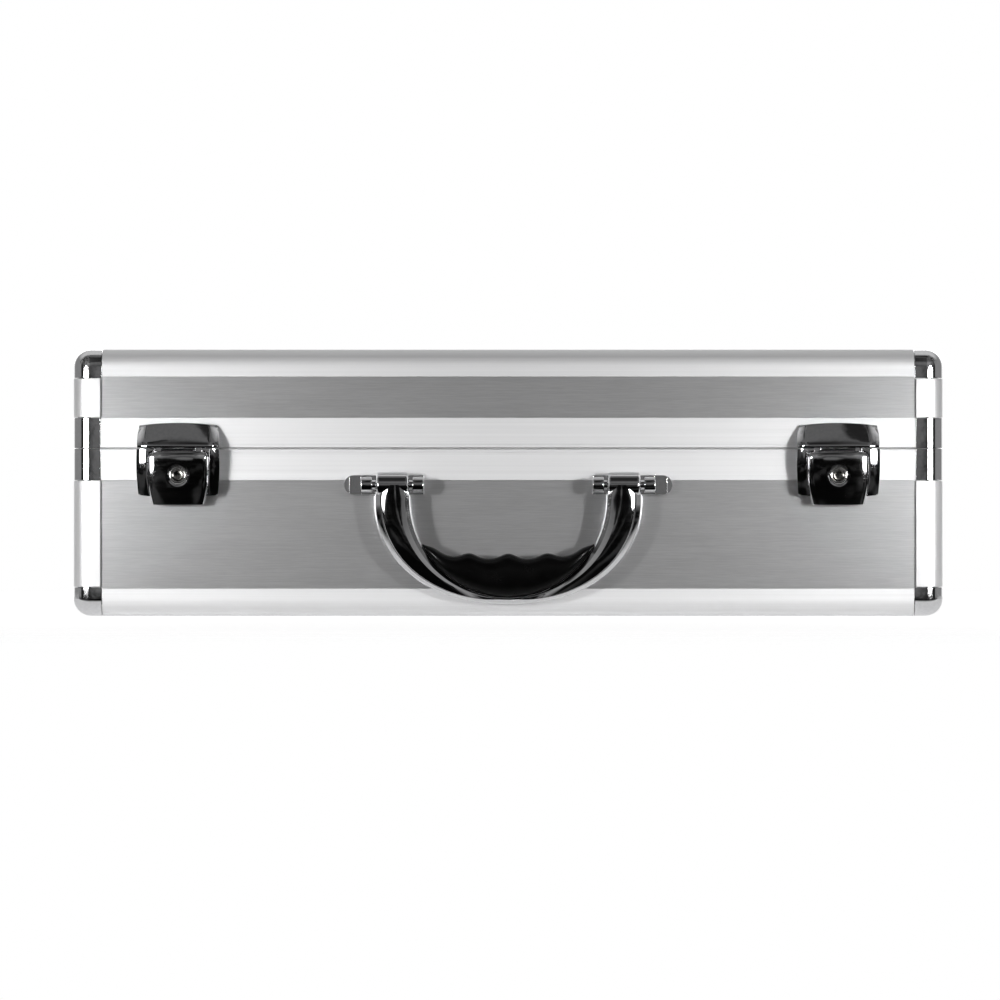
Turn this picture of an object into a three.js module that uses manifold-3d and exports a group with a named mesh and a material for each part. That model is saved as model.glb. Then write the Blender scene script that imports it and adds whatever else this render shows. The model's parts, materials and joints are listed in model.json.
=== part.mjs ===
// An aluminum tool case, closed and lying on its base: framed panels, chrome corners,
// two hasp latches with key locks, a swinging handle with a soft grip, and two stop
// hinges behind. Sizes are in millimetres, +Z is up and the handle side faces -Y.
import * as THREE from 'three';
import { mergeVertices } from 'three/addons/utils/BufferGeometryUtils.js';
import { ParametricGeometry } from 'three/addons/geometries/ParametricGeometry.js';
import { RoundedBoxGeometry } from 'three/addons/geometries/RoundedBoxGeometry.js';
import Module from 'manifold-3d';

const wasm = await Module();
wasm.setup();

// The whole case
const CASE_WIDTH = 457;
const CASE_DEPTH = 330;
const CASE_HEIGHT = 140;
const PARTING_HEIGHT = 88;
const SEAM = 0.3;

// Edge profiles, posts and corners
const EDGE_RADIUS = 9;
const PROFILE_WALL = 1.5;
const PROFILE_LEG = 14.4;
const BALL_CORNER_REACH = 15;
const BOARD_THICKNESS = 5;

// Rim frames at the parting line
const BASE_RIM_HEIGHT = 16.7;
const LID_RIM_HEIGHT = 16;
const RIM_INNER_RADIUS = 2;
const TONGUE_THICKNESS = 1.5;
const TONGUE_INSET = 3.6;
const TONGUE_RISE = 3;
const TONGUE_HEADROOM = 2;

// Foam lining
const BASE_FOAM_THICKNESS = 20;
const LID_FOAM_THICKNESS = 18;

// Handle, measured from its turning axis
const HANDLE_AXIS_DROP = 2.5;
const HANDLE_AXIS_OUT = 10;
const HANDLE_EYE_WIDTH = 16.8;
const HANDLE_EYE_RADIUS = 6.8;
const HANDLE_PIN_RADIUS = 1.6;
const BOW_SHOULDER_DROP = 7.1;
const BOW_OUTER_WIDTH = 140.4;
const BOW_INNER_WIDTH = 102.4;
const BOW_DROP = 62.3;
const BOW_BAND = 3;
const BOW_THICKNESS = 14;
const BOW_SQUARENESS = 2.2;
const BOW_SECTION_SQUARENESS = 3;
const EYE_NECK_THICKNESS = 12;
const GRIP_THICKNESS = 18;
const GRIP_TIP_THICKNESS = 4.4;
const GRIP_SECTION_SQUARENESS = 2.6;
const GRIP_TOP_DROP = 37.6;
const GRIP_TIP_DROP = 30.8;
const GRIP_WAVE_HEIGHT = 1.3;
const GRIP_WAVE_SPACING = 20.4;

// Handle brackets
const BRACKET_HEIGHT = 10.2;
const BRACKET_PLATE = 2.2;
const BRACKET_PAD_OUT = 5;
const BRACKET_PAD_LENGTH = 9;
const BRACKET_PAD_CHAMFER = 3;
const BRACKET_INNER_REACH = 16.4;
const BRACKET_OUTER_REACH = 25.4;
const KNUCKLE_RADIUS = 4.2;
const KNUCKLE_WEB_HEIGHT = 6.8;
const KNUCKLE_GAP = 2.1;

// Latches, measured from the parting line and the front face
const LATCH_END_DISTANCE = 55.5;
const LATCH_WIDTH = 43.2;
const LATCH_TOP_WIDTH = 40.9;
const LATCH_FOOT_WIDTH = 41.8;
const LATCH_RISE = 13.3;
const LATCH_DROP = 25.8;
const LATCH_ARCH = 1.3;
const LATCH_DEPTH = 11.4;
const LATCH_TOP_DEPTH = 3.4;
const LATCH_SHOULDER_RISE = 8;
const LATCH_FOOT_DEPTH = 7;
const LATCH_BACK_WALL = 1.5;

// Latch flap
const FLAP_AXIS_OUT = 7.5;
const FLAP_AXIS_DROP = 4.5;
const FLAP_ROLL_RADIUS = 4.2;
const FLAP_WALL = 1.5;
const FLAP_WIDTH = 32.4;
const FLAP_FOOT_WIDTH = 27.6;
const FLAP_DROP = 29.7;
const FLAP_FOOT_OUT = 9.7;
const FLAP_BULGE = 0.5;
const FLAP_SKIRT_OUT = 2.6;
const FLAP_SKIRT_DROP = 7.5;
const FLAP_SIDE_GAP = 0.4;
const LUG_SPACING = 21.5;
const LUG_WIDTH = 3.5;
const LUG_RADIUS = 2.5;
const LUG_SLOT_ANGLE = 40;
const LATCH_PIN_RADIUS = 1.2;

// Key lock in the flap, and the boss that its cam turns in
const LOCK_DROP = 14.1;
const LOCK_RADIUS = 4.7;
const LOCK_PROUD = 0.5;
const KEYHOLE_RADIUS = 2.1;
const KEYHOLE_DEPTH = 2.5;
const KEY_SLOT = { width: 1, height: 6.4 };
const NECK_RADIUS = 1.5;
const CAM = { length: 8, width: 1.6, thickness: 1.3 };
const BOSS_WIDTH = 14;
const BOSS_DEPTH = 5.5;
const BOSS_WALL = 1.5;
const BOSS_TOP_DROP = 9.2;
const BOSS_FOOT_DROP = 22;
const CAM_SWING = 2.3;

// Back hinges, measured from the parting line and the back face
const HINGE_END_DISTANCE = 88.5;
const HINGE_WIDTH = 45;
const HINGE_LEAF_HEIGHT = 14;
const HINGE_LEAF = 1.5;
const HINGE_LEAF_GAP = 0.5;
const HINGE_AXIS_OUT = 5;
const HINGE_KNUCKLE_RADIUS = 3.2;
const HINGE_PIN_RADIUS = 1.5;
const HINGE_MIDDLE_KNUCKLE = 15;
const HINGE_STOP_ANGLE = 100;
const HINGE_REAR_REACH = 12;
const HEEL_THICKNESS = 2.4;
const STOP_PAD_HEIGHT = 3;
const RIVET_RADIUS = 2.4;
const RIVET_HEIGHT = 1;

// Faceting of round shapes
const EDGE_STEPS = 3;
const ROUND_SIDES = 16;
const SMALL_SIDES = 10;
const CURVE_STEPS = 4;
const PLAN_STEPS = 3;
const BOW_STEPS = 28;
const GRIP_STEPS = 32;
const SECTION_STEPS = 12;
const DOME_STEPS = 4;

// Sizes that follow from the ones above
const HALF_WIDTH = CASE_WIDTH / 2;
const HALF_DEPTH = CASE_DEPTH / 2;
const BOARD_INSET = PROFILE_WALL + SEAM;
const LINING_INSET = BOARD_INSET + BOARD_THICKNESS + SEAM;
const RIM_INNER_INSET = LINING_INSET + PROFILE_WALL;
const BASE_TOP = PARTING_HEIGHT - SEAM / 2;
const LID_FOOT = PARTING_HEIGHT + SEAM / 2;
const BASE_RIM_FOOT = PARTING_HEIGHT - BASE_RIM_HEIGHT;
const LID_RIM_TOP = PARTING_HEIGHT + LID_RIM_HEIGHT;
const BASE_WEB_FOOT = BASE_TOP - PROFILE_WALL;
const LID_WEB_FOOT = PARTING_HEIGHT + TONGUE_RISE + TONGUE_HEADROOM;
const LID_WEB_TOP = LID_WEB_FOOT + PROFILE_WALL;
const HANDLE_AXIS_HEIGHT = BASE_RIM_FOOT - HANDLE_AXIS_DROP;
const HANDLE_EYE_SPACING = (BOW_OUTER_WIDTH + BOW_INNER_WIDTH) / 2;
const LATCH_SPACING = CASE_WIDTH - 2 * LATCH_END_DISTANCE;
const HINGE_SPACING = CASE_WIDTH - 2 * HINGE_END_DISTANCE;
const BEYOND = 1;

const CORNERS = [
  { place: 'front_left', x: -1, y: -1 },
  { place: 'front_right', x: 1, y: -1 },
  { place: 'back_left', x: -1, y: 1 },
  { place: 'back_right', x: 1, y: 1 },
];
const SIDES = [
  { place: 'front', along: 'x', sign: -1 },
  { place: 'back', along: 'x', sign: 1 },
  { place: 'left', along: 'y', sign: -1 },
  { place: 'right', along: 'y', sign: 1 },
];
const HANDS = [
  { place: 'left', side: -1 },
  { place: 'right', side: 1 },
];

const FINISHES = {
  anodised: new THREE.MeshStandardMaterial({ color: 0xdedede, roughness: 0.42, metalness: 0.9 }),
  brushed: new THREE.MeshStandardMaterial({ color: 0xa6a6a6, roughness: 0.38, metalness: 0.9 }),
  chrome: new THREE.MeshStandardMaterial({ color: 0xe4e4e6, roughness: 0.06, metalness: 1 }),
  steel: new THREE.MeshStandardMaterial({ color: 0xb8b8ba, roughness: 0.3, metalness: 1 }),
  grip: new THREE.MeshStandardMaterial({ color: 0x101010, roughness: 0.35, metalness: 0 }),
  foam: new THREE.MeshStandardMaterial({ color: 0x26272a, roughness: 0.95, metalness: 0 }),
};

// Makes a solid from a closed three.js geometry.
function solidOf(geometry) {
  const bare = new THREE.BufferGeometry();
  bare.setAttribute('position', geometry.getAttribute('position'));
  if (geometry.index) bare.setIndex(geometry.index);
  const merged = mergeVertices(bare, 1e-4);
  const corners = [];
  const index = merged.index.array;
  for (let i = 0; i < index.length; i += 3) {
    const [a, b, c] = [index[i], index[i + 1], index[i + 2]];
    if (a !== b && b !== c && c !== a) corners.push(a, b, c);
  }
  return new wasm.Manifold(new wasm.Mesh({
    numProp: 3,
    vertProperties: new Float32Array(merged.getAttribute('position').array),
    triVerts: new Uint32Array(corners),
  }));
}

function join(solids) {
  return solids.reduce((whole, piece) => whole.add(piece));
}

function cut(solid, tools) {
  return tools.reduce((left, tool) => left.subtract(tool), solid);
}

function block([x0, x1], [y0, y1], [z0, z1]) {
  const box = new THREE.BoxGeometry(x1 - x0, y1 - y0, z1 - z0);
  return solidOf(box.translate((x0 + x1) / 2, (y0 + y1) / 2, (z0 + z1) / 2));
}

// A round bar along X through the point (y, z).
function barAlongX(radius, [x0, x1], y = 0, z = 0, sides = ROUND_SIDES) {
  const bar = new THREE.CylinderGeometry(radius, radius, x1 - x0, sides);
  return solidOf(bar.rotateZ(Math.PI / 2).translate((x0 + x1) / 2, y, z));
}

// A round bar along Y through the point (x, z).
function barAlongY(radius, [y0, y1], x = 0, z = 0, sides = ROUND_SIDES) {
  const bar = new THREE.CylinderGeometry(radius, radius, y1 - y0, sides);
  return solidOf(bar.translate(x, (y0 + y1) / 2, z));
}

// The radius of a faceted hole whose flats clear a bar of the given radius.
function holeRadius(radius, sides) {
  return (radius + SEAM) / Math.cos(Math.PI / sides);
}

function extrude(shape, length, curveSegments) {
  return new THREE.ExtrudeGeometry(shape, { depth: length, bevelEnabled: false, curveSegments });
}

// A plan seen from above, raised from z0 to z1.
function raise(shape, [z0, z1]) {
  return solidOf(extrude(shape, z1 - z0, PLAN_STEPS).translate(0, 0, z0));
}

// An outline seen from the front, as (x, z), taken from y0 to y1.
function throughDepth(shape, [y0, y1]) {
  const turn = new THREE.Matrix4().makeBasis(
    new THREE.Vector3(1, 0, 0), new THREE.Vector3(0, 0, 1), new THREE.Vector3(0, -1, 0));
  return solidOf(extrude(shape, y1 - y0, CURVE_STEPS).applyMatrix4(turn).translate(0, y1, 0));
}

// A section seen from the side, as (y, z), taken from x0 to x1.
function throughWidth(shape, [x0, x1]) {
  const turn = new THREE.Matrix4().makeBasis(
    new THREE.Vector3(0, 1, 0), new THREE.Vector3(0, 0, 1), new THREE.Vector3(1, 0, 0));
  return solidOf(extrude(shape, x1 - x0, CURVE_STEPS).applyMatrix4(turn).translate(x0, 0, 0));
}

function polygon(points) {
  return new THREE.Shape(points.map(([x, y]) => new THREE.Vector2(x, y)));
}

// A closed body swept through sections: point(s, angle) is on the section at s, from 0 to 1.
function loft(centre, point, runSteps, sectionSteps) {
  const rows = runSteps + 2;
  const place = (u, v, target) => {
    const row = Math.round(v * rows);
    const s = Math.min(Math.max(row - 1, 0), runSteps) / runSteps;
    const ends = row === 0 || row === rows;
    target.copy(ends ? centre(s) : point(s, -u * 2 * Math.PI));
  };
  return solidOf(new ParametricGeometry(place, sectionSteps, rows));
}

// A coordinate of a circle that is drawn towards a square as squareness grows past 2.
function squared(value, squareness) {
  return Math.sign(value) * Math.abs(value) ** (2 / squareness);
}

// A flattened dome standing out along +Y, for a rivet head.
function rivetHead(x, y, z) {
  const dome = new THREE.SphereGeometry(RIVET_RADIUS, SMALL_SIDES, DOME_STEPS);
  dome.scale(1, RIVET_HEIGHT / RIVET_RADIUS, 1).translate(x, y, z);
  const reach = RIVET_RADIUS + BEYOND;
  const outer = block([x - reach, x + reach], [y, y + RIVET_HEIGHT + BEYOND], [z - reach, z + reach]);
  return solidOf(dome).intersect(outer);
}

function named(name, solid, finish) {
  const made = solid.getMesh();
  const geometry = new THREE.BufferGeometry();
  geometry.setAttribute('position', new THREE.BufferAttribute(new Float32Array(made.vertProperties), 3));
  geometry.setIndex(new THREE.BufferAttribute(new Uint32Array(made.triVerts), 1));
  geometry.computeVertexNormals();
  const mesh = new THREE.Mesh(geometry, finish);
  mesh.name = name;
  return mesh;
}

// The whole case as a rounded block, drawn in by inset on every side.
function roundedCase(inset) {
  const rounded = new RoundedBoxGeometry(
    CASE_WIDTH - 2 * inset, CASE_DEPTH - 2 * inset, CASE_HEIGHT - 2 * inset,
    EDGE_STEPS, EDGE_RADIUS - inset);
  return solidOf(rounded.translate(0, 0, CASE_HEIGHT / 2));
}

const SKIN = roundedCase(0).subtract(roundedCase(PROFILE_WALL));

function slab(heights) {
  const x = HALF_WIDTH + BEYOND;
  const y = HALF_DEPTH + BEYOND;
  return block([-x, x], [-y, y], heights);
}

// The space at an upright corner of the case, reaching in along both faces.
function cornerSpace({ x, y }, reach, heights) {
  const span = (sign, half) => (sign < 0 ? [-half - BEYOND, -half + reach] : [half - reach, half + BEYOND]);
  return block(span(x, HALF_WIDTH), span(y, HALF_DEPTH), heights);
}

// The space along one side of the case, between two ball corners.
function sideSpace({ along, sign }, heights) {
  const [face, other] = along === 'x' ? [HALF_DEPTH, HALF_WIDTH] : [HALF_WIDTH, HALF_DEPTH];
  const run = other - BALL_CORNER_REACH - SEAM;
  const near = face - PROFILE_LEG;
  const across = sign < 0 ? [-face - BEYOND, -near] : [near, face + BEYOND];
  return along === 'x' ? block([-run, run], across, heights) : block(across, [-run, run], heights);
}

// A plan of the case drawn in by inset, with rounded corners.
function plan(inset, radius = EDGE_RADIUS - inset) {
  const x = HALF_WIDTH - inset;
  const y = HALF_DEPTH - inset;
  const shape = new THREE.Shape();
  shape.moveTo(-x + radius, -y);
  shape.lineTo(x - radius, -y);
  shape.absarc(x - radius, -y + radius, radius, -Math.PI / 2, 0);
  shape.lineTo(x, y - radius);
  shape.absarc(x - radius, y - radius, radius, 0, Math.PI / 2);
  shape.lineTo(-x + radius, y);
  shape.absarc(-x + radius, y - radius, radius, Math.PI / 2, Math.PI);
  shape.lineTo(-x, -y + radius);
  shape.absarc(-x + radius, -y + radius, radius, Math.PI, 1.5 * Math.PI);
  return shape;
}

function ring(outer, inner, heights) {
  const opening = [heights[0] - BEYOND, heights[1] + BEYOND];
  return raise(outer, heights).subtract(raise(inner, opening));
}

// Two legs and a web round the whole case. The outer leg stops at the chrome rim corners.
function rimChannel(legs, web) {
  const inside = plan(RIM_INNER_INSET, RIM_INNER_RADIUS);
  const outerLeg = SKIN.intersect(slab(legs)).add(ring(plan(PROFILE_WALL / 2), inside, web));
  const cornerCaps = CORNERS.map((corner) => cornerSpace(corner, PROFILE_LEG + SEAM, legs));
  const innerLeg = ring(plan(LINING_INSET, RIM_INNER_RADIUS + PROFILE_WALL), inside, legs);
  return join([cut(outerLeg, cornerCaps), ring(plan(BOARD_INSET), inside, web), innerLeg]);
}

function baseRimFrame() {
  const channel = rimChannel([BASE_RIM_FOOT, BASE_TOP], [BASE_WEB_FOOT, BASE_TOP]);
  const tongue = ring(
    plan(TONGUE_INSET), plan(TONGUE_INSET + TONGUE_THICKNESS),
    [BASE_WEB_FOOT + PROFILE_WALL / 2, PARTING_HEIGHT + TONGUE_RISE]);
  return channel.add(tongue);
}

function lidRimFrame() {
  return rimChannel([LID_FOOT, LID_RIM_TOP], [LID_WEB_FOOT, LID_WEB_TOP]);
}

// Boards joined into a tray, open towards the parting line.
function boardTray(heights, hollow) {
  const x = HALF_WIDTH - BOARD_INSET - BOARD_THICKNESS;
  const y = HALF_DEPTH - BOARD_INSET - BOARD_THICKNESS;
  return roundedCase(BOARD_INSET).intersect(slab(heights)).subtract(block([-x, x], [-y, y], hollow));
}

// A foam lining, rebated wherever it would reach the inner leg of its rim.
function foamSlab(heights, rimHeights) {
  const x = HALF_WIDTH - LINING_INSET;
  const y = HALF_DEPTH - LINING_INSET;
  const clear = RIM_INNER_INSET + SEAM;
  const leg = [rimHeights[0] - SEAM, rimHeights[1] + SEAM];
  const rebate = slab(leg).subtract(
    block([clear - HALF_WIDTH, HALF_WIDTH - clear], [clear - HALF_DEPTH, HALF_DEPTH - clear], leg));
  return block([-x, x], [-y, y], heights).subtract(rebate);
}

// The frame, boards and corners of one half of the case.
function halfCase({ half, flatEnd, edge, edgeSpan, postSpan, ballSpan, rimSpan, tray, rim, foam }) {
  const group = new THREE.Group();
  group.add(named(`${half}_shell`, tray, FINISHES.brushed));
  group.add(named(`${half}_rim_frame`, rim, FINISHES.anodised));
  group.add(named(`${half}_foam`, foam, FINISHES.foam));
  for (const side of SIDES) {
    const profile = SKIN.intersect(sideSpace(side, edgeSpan));
    group.add(named(`${half}_${edge}_edge_${side.place}`, profile, FINISHES.anodised));
  }
  for (const corner of CORNERS) {
    const add = (kind, reach, span, finish) => {
      const piece = SKIN.intersect(cornerSpace(corner, reach, span));
      group.add(named(`${half}_${kind}_${corner.place}`, piece, finish));
    };
    add('post', PROFILE_LEG, postSpan, FINISHES.anodised);
    add('ball_corner', BALL_CORNER_REACH, ballSpan, FINISHES.chrome);
    add('rim_corner', PROFILE_LEG, rimSpan, FINISHES.chrome);
  }
  return group;
}

function baseHalf() {
  const boardTop = BOARD_INSET + BOARD_THICKNESS;
  const foamFoot = boardTop + SEAM;
  return halfCase({
    half: 'base',
    edge: 'bottom',
    edgeSpan: [-BEYOND, PROFILE_LEG],
    ballSpan: [-BEYOND, BALL_CORNER_REACH],
    postSpan: [BALL_CORNER_REACH + SEAM, BASE_RIM_FOOT - SEAM],
    rimSpan: [BASE_RIM_FOOT, BASE_TOP],
    tray: boardTray([0, BASE_WEB_FOOT - SEAM], [boardTop, CASE_HEIGHT]),
    rim: baseRimFrame(),
    foam: foamSlab([foamFoot, foamFoot + BASE_FOAM_THICKNESS], [BASE_RIM_FOOT, BASE_TOP]),
  });
}

function lidHalf() {
  const boardFoot = CASE_HEIGHT - BOARD_INSET - BOARD_THICKNESS;
  const foamTop = boardFoot - SEAM;
  return halfCase({
    half: 'lid',
    edge: 'top',
    edgeSpan: [CASE_HEIGHT - PROFILE_LEG, CASE_HEIGHT + BEYOND],
    ballSpan: [CASE_HEIGHT - BALL_CORNER_REACH, CASE_HEIGHT + BEYOND],
    postSpan: [LID_RIM_TOP + SEAM, CASE_HEIGHT - BALL_CORNER_REACH - SEAM],
    rimSpan: [LID_FOOT, LID_RIM_TOP],
    tray: boardTray([LID_WEB_TOP + SEAM, CASE_HEIGHT], [0, boardFoot]),
    rim: lidRimFrame(),
    foam: foamSlab([foamTop - LID_FOAM_THICKNESS, foamTop], [LID_FOOT, LID_RIM_TOP]),
  });
}

function handlePinBore() {
  const radius = holeRadius(HANDLE_PIN_RADIUS, SMALL_SIDES);
  return barAlongX(radius, [-HANDLE_EYE_SPACING, HANDLE_EYE_SPACING], 0, 0, SMALL_SIDES);
}

// A plate with knuckles either side of the handle's eye, and a pad with a sloping end.
function handleBracket(side) {
  const eye = HANDLE_EYE_WIDTH / 2;
  const across = (near, far) => (side > 0 ? [near, far] : [-far, -near]);
  const back = HANDLE_AXIS_OUT - SEAM;
  const half = BRACKET_HEIGHT / 2;
  const outerEnd = side * (BRACKET_OUTER_REACH - half);
  const thick = [back - BRACKET_PLATE, back];
  const plate = join([
    block(across(-BRACKET_INNER_REACH, BRACKET_OUTER_REACH - half), thick, [-half, half]),
    barAlongY(half, thick, outerEnd),
  ]);
  const padFront = HANDLE_AXIS_OUT - BRACKET_PAD_OUT;
  const padStart = BRACKET_OUTER_REACH - BRACKET_PAD_LENGTH;
  const slope = BRACKET_PAD_OUT - BRACKET_PLATE;
  const pastEnd = side * (BRACKET_OUTER_REACH + BRACKET_PAD_CHAMFER);
  const endSlope = polygon([
    [side * (BRACKET_OUTER_REACH - 2 * BRACKET_PAD_CHAMFER), padFront - slope],
    [pastEnd, padFront - slope],
    [pastEnd, padFront + 2 * slope],
  ]);
  const pad = join([
    block(across(padStart, BRACKET_OUTER_REACH - half), [padFront, back], [-half, half]),
    barAlongY(half, [padFront, back], outerEnd),
  ]).subtract(raise(endSlope, [-BRACKET_HEIGHT, BRACKET_HEIGHT]));
  const footTop = Math.min(half, HANDLE_AXIS_DROP - SEAM);
  const foot = block(
    across(-BRACKET_INNER_REACH + SEAM, BRACKET_OUTER_REACH - half),
    [back - BRACKET_PLATE / 2, HANDLE_AXIS_OUT + PROFILE_WALL], [-half + SEAM, footTop]);
  const knuckles = [
    across(-BRACKET_INNER_REACH, -eye - SEAM),
    across(eye + KNUCKLE_GAP, BRACKET_INNER_REACH),
  ].flatMap((span) => [
    barAlongX(KNUCKLE_RADIUS, span),
    block(span, [0, back - BRACKET_PLATE / 2], [-KNUCKLE_WEB_HEIGHT / 2, KNUCKLE_WEB_HEIGHT / 2]),
  ]);
  return join([plate, pad, foot, ...knuckles]).subtract(handlePinBore());
}

function handlePin(side) {
  const inner = side * (-BRACKET_INNER_REACH + SEAM);
  const outer = side * (BRACKET_INNER_REACH - SEAM);
  return barAlongX(HANDLE_PIN_RADIUS, [Math.min(inner, outer), Math.max(inner, outer)], 0, 0, SMALL_SIDES);
}

// The bow's outer line, a squared half ellipse from one shoulder to the other.
function bowOuter(s) {
  const angle = Math.PI * s;
  const half = BOW_OUTER_WIDTH / 2;
  const drop = BOW_DROP - BOW_SHOULDER_DROP;
  const x = half * squared(Math.cos(angle), BOW_SQUARENESS);
  return new THREE.Vector3(x, 0, -BOW_SHOULDER_DROP - drop * squared(Math.sin(angle), BOW_SQUARENESS));
}

// The bow's inner line, a half ellipse that leaves a thin band at the bottom.
function bowInner(s) {
  const angle = Math.PI * s;
  const x = (BOW_INNER_WIDTH / 2) * Math.cos(angle);
  const drop = BOW_DROP - BOW_BAND - BOW_SHOULDER_DROP;
  return new THREE.Vector3(x, 0, -BOW_SHOULDER_DROP - drop * Math.sin(angle));
}

function handleBow() {
  const middle = (s) => bowOuter(s).add(bowInner(s)).multiplyScalar(0.5);
  const edge = (s, angle) => {
    const outward = squared(Math.cos(angle), BOW_SECTION_SQUARENESS) / 2;
    const thick = (squared(Math.sin(angle), BOW_SECTION_SQUARENESS) * BOW_THICKNESS) / 2;
    const half = bowOuter(s).sub(bowInner(s)).multiplyScalar(outward);
    return middle(s).add(half).add(new THREE.Vector3(0, thick, 0));
  };
  const neck = EYE_NECK_THICKNESS / 2;
  const eyes = HANDS.flatMap(({ side }) => {
    const x = side * (HANDLE_EYE_SPACING / 2);
    const span = [x - HANDLE_EYE_WIDTH / 2, x + HANDLE_EYE_WIDTH / 2];
    return [
      barAlongX(HANDLE_EYE_RADIUS, span),
      block(span, [-neck, neck], [-BOW_SHOULDER_DROP - BEYOND, 0]),
    ];
  });
  return join([loft(middle, edge, BOW_STEPS, SECTION_STEPS), ...eyes]).subtract(handlePinBore());
}

// The grip lies in the bow's hollow, thins out up both arms, and waves along its top.
function handleGrip() {
  const semiWidth = BOW_INNER_WIDTH / 2;
  const semiDrop = BOW_DROP - BOW_BAND - BOW_SHOULDER_DROP;
  const bed = (x) => -BOW_SHOULDER_DROP - semiDrop * Math.sqrt(1 - (x / semiWidth) ** 2) + 2 * SEAM;
  const tip = semiWidth * Math.sqrt(1 - ((GRIP_TIP_DROP - BOW_SHOULDER_DROP) / semiDrop) ** 2) - 2 * SEAM;
  const tipShare = GRIP_TIP_THICKNESS / GRIP_THICKNESS;
  const along = (s) => tip * Math.cos(Math.PI * s);
  const crest = (x) => {
    const rise = (Math.abs(x) / tip) ** 4 * (GRIP_TOP_DROP - GRIP_TIP_DROP);
    const fade = 1 - (Math.abs(x) / tip) ** 6;
    const wave = GRIP_WAVE_HEIGHT * fade * Math.cos((2 * Math.PI * x) / GRIP_WAVE_SPACING);
    return Math.max(-GRIP_TOP_DROP + rise + wave, bed(x) + SEAM);
  };
  const centre = (s) => new THREE.Vector3(along(s), 0, (bed(along(s)) + crest(along(s))) / 2);
  const point = (s, angle) => {
    const x = along(s);
    const halfHeight = (crest(x) - bed(x)) / 2;
    const halfThick = (GRIP_THICKNESS / 2) * Math.sqrt(1 - (1 - tipShare ** 2) * (x / tip) ** 6);
    const y = halfThick * squared(Math.sin(angle), GRIP_SECTION_SQUARENESS);
    const rise = halfHeight * squared(Math.cos(angle), GRIP_SECTION_SQUARENESS);
    return new THREE.Vector3(x, y, centre(s).z - rise);
  };
  return loft(centre, point, GRIP_STEPS, SECTION_STEPS);
}

// The latch's bowed outline seen from the front, from the height top down to the height foot.
function latchOutline(top, foot, topHalf, footHalf, topArch, footArch) {
  const shape = new THREE.Shape();
  const middle = (top + foot) / 2;
  const belly = LATCH_WIDTH / 2 + (LATCH_WIDTH - topHalf - footHalf) / 2;
  shape.moveTo(-topHalf, top);
  shape.quadraticCurveTo(-belly, middle, -footHalf, foot);
  shape.quadraticCurveTo(0, foot - 2 * footArch, footHalf, foot);
  shape.quadraticCurveTo(belly, middle, topHalf, top);
  shape.quadraticCurveTo(0, top + 2 * topArch, -topHalf, top);
  return shape;
}

function latchPinBore() {
  const radius = holeRadius(LATCH_PIN_RADIUS, SMALL_SIDES);
  return barAlongX(radius, [-LATCH_WIDTH, LATCH_WIDTH], -FLAP_AXIS_OUT, -FLAP_AXIS_DROP, SMALL_SIDES);
}

function lugSpan(side, margin = 0) {
  const middle = (side * LUG_SPACING) / 2;
  return [middle - LUG_WIDTH / 2 - margin, middle + LUG_WIDTH / 2 + margin];
}

// The plate on the lid, thickest at the parting line, with two lugs that carry the flap's pin.
function latchLidPlate() {
  const outline = latchOutline(
    LATCH_RISE - LATCH_ARCH, SEAM, LATCH_TOP_WIDTH / 2, LATCH_WIDTH / 2 - SEAM, LATCH_ARCH, 0);
  const section = new THREE.Shape();
  section.moveTo(-SEAM, SEAM);
  section.lineTo(-SEAM, LATCH_RISE + SEAM);
  section.lineTo(-LATCH_TOP_DEPTH, LATCH_RISE + SEAM);
  section.quadraticCurveTo(-LATCH_DEPTH, LATCH_SHOULDER_RISE, -LATCH_DEPTH, SEAM);
  const plate = throughDepth(outline, [-LATCH_DEPTH - BEYOND, -SEAM])
    .intersect(throughWidth(section, [-LATCH_WIDTH, LATCH_WIDTH]));
  const stemBack = -LATCH_BACK_WALL - 2 * SEAM;
  const stemFront = -FLAP_AXIS_OUT + FLAP_ROLL_RADIUS - 2 * SEAM;
  const stemHalf = LUG_RADIUS / 2;
  const stemFoot = -FLAP_AXIS_DROP - stemHalf;
  const lugs = HANDS.flatMap(({ side }) => [
    barAlongX(LUG_RADIUS, lugSpan(side), -FLAP_AXIS_OUT, -FLAP_AXIS_DROP, SMALL_SIDES),
    block(lugSpan(side), [-FLAP_AXIS_OUT, stemBack], [stemFoot, -FLAP_AXIS_DROP + stemHalf]),
    block(lugSpan(side), [stemFront, stemBack], [stemFoot, SEAM + BEYOND]),
  ]);
  return join([plate, ...lugs]).subtract(latchPinBore());
}

// The flap seen from the front: straight sides at the top, drawn in towards the foot.
function flapOutline(margin, foot) {
  const top = -FLAP_AXIS_DROP + FLAP_ROLL_RADIUS + BEYOND;
  const waist = -LOCK_DROP;
  const half = FLAP_WIDTH / 2 + margin;
  const footHalf = FLAP_FOOT_WIDTH / 2 + margin;
  const shape = new THREE.Shape();
  shape.moveTo(-half, top);
  shape.lineTo(-half, waist);
  shape.quadraticCurveTo(-half, (waist + foot) / 2, -footHalf, foot);
  shape.lineTo(footHalf, foot);
  shape.quadraticCurveTo(half, (waist + foot) / 2, half, waist);
  shape.lineTo(half, top);
  return shape;
}

// The flap's side view: a rolled top round the pin, and a front that curves in to the foot.
function flapSection(radius, foot, footOut, backOut, backTop) {
  const axisY = -FLAP_AXIS_OUT;
  const axisZ = -FLAP_AXIS_DROP;
  const shape = new THREE.Shape();
  shape.moveTo(axisY - radius, axisZ);
  shape.quadraticCurveTo(axisY - radius - FLAP_BULGE, (axisZ + foot) / 2, -footOut, foot);
  shape.lineTo(-backOut, foot);
  shape.lineTo(-backOut, backTop);
  shape.lineTo(axisY + radius, axisZ);
  return shape;
}

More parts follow.
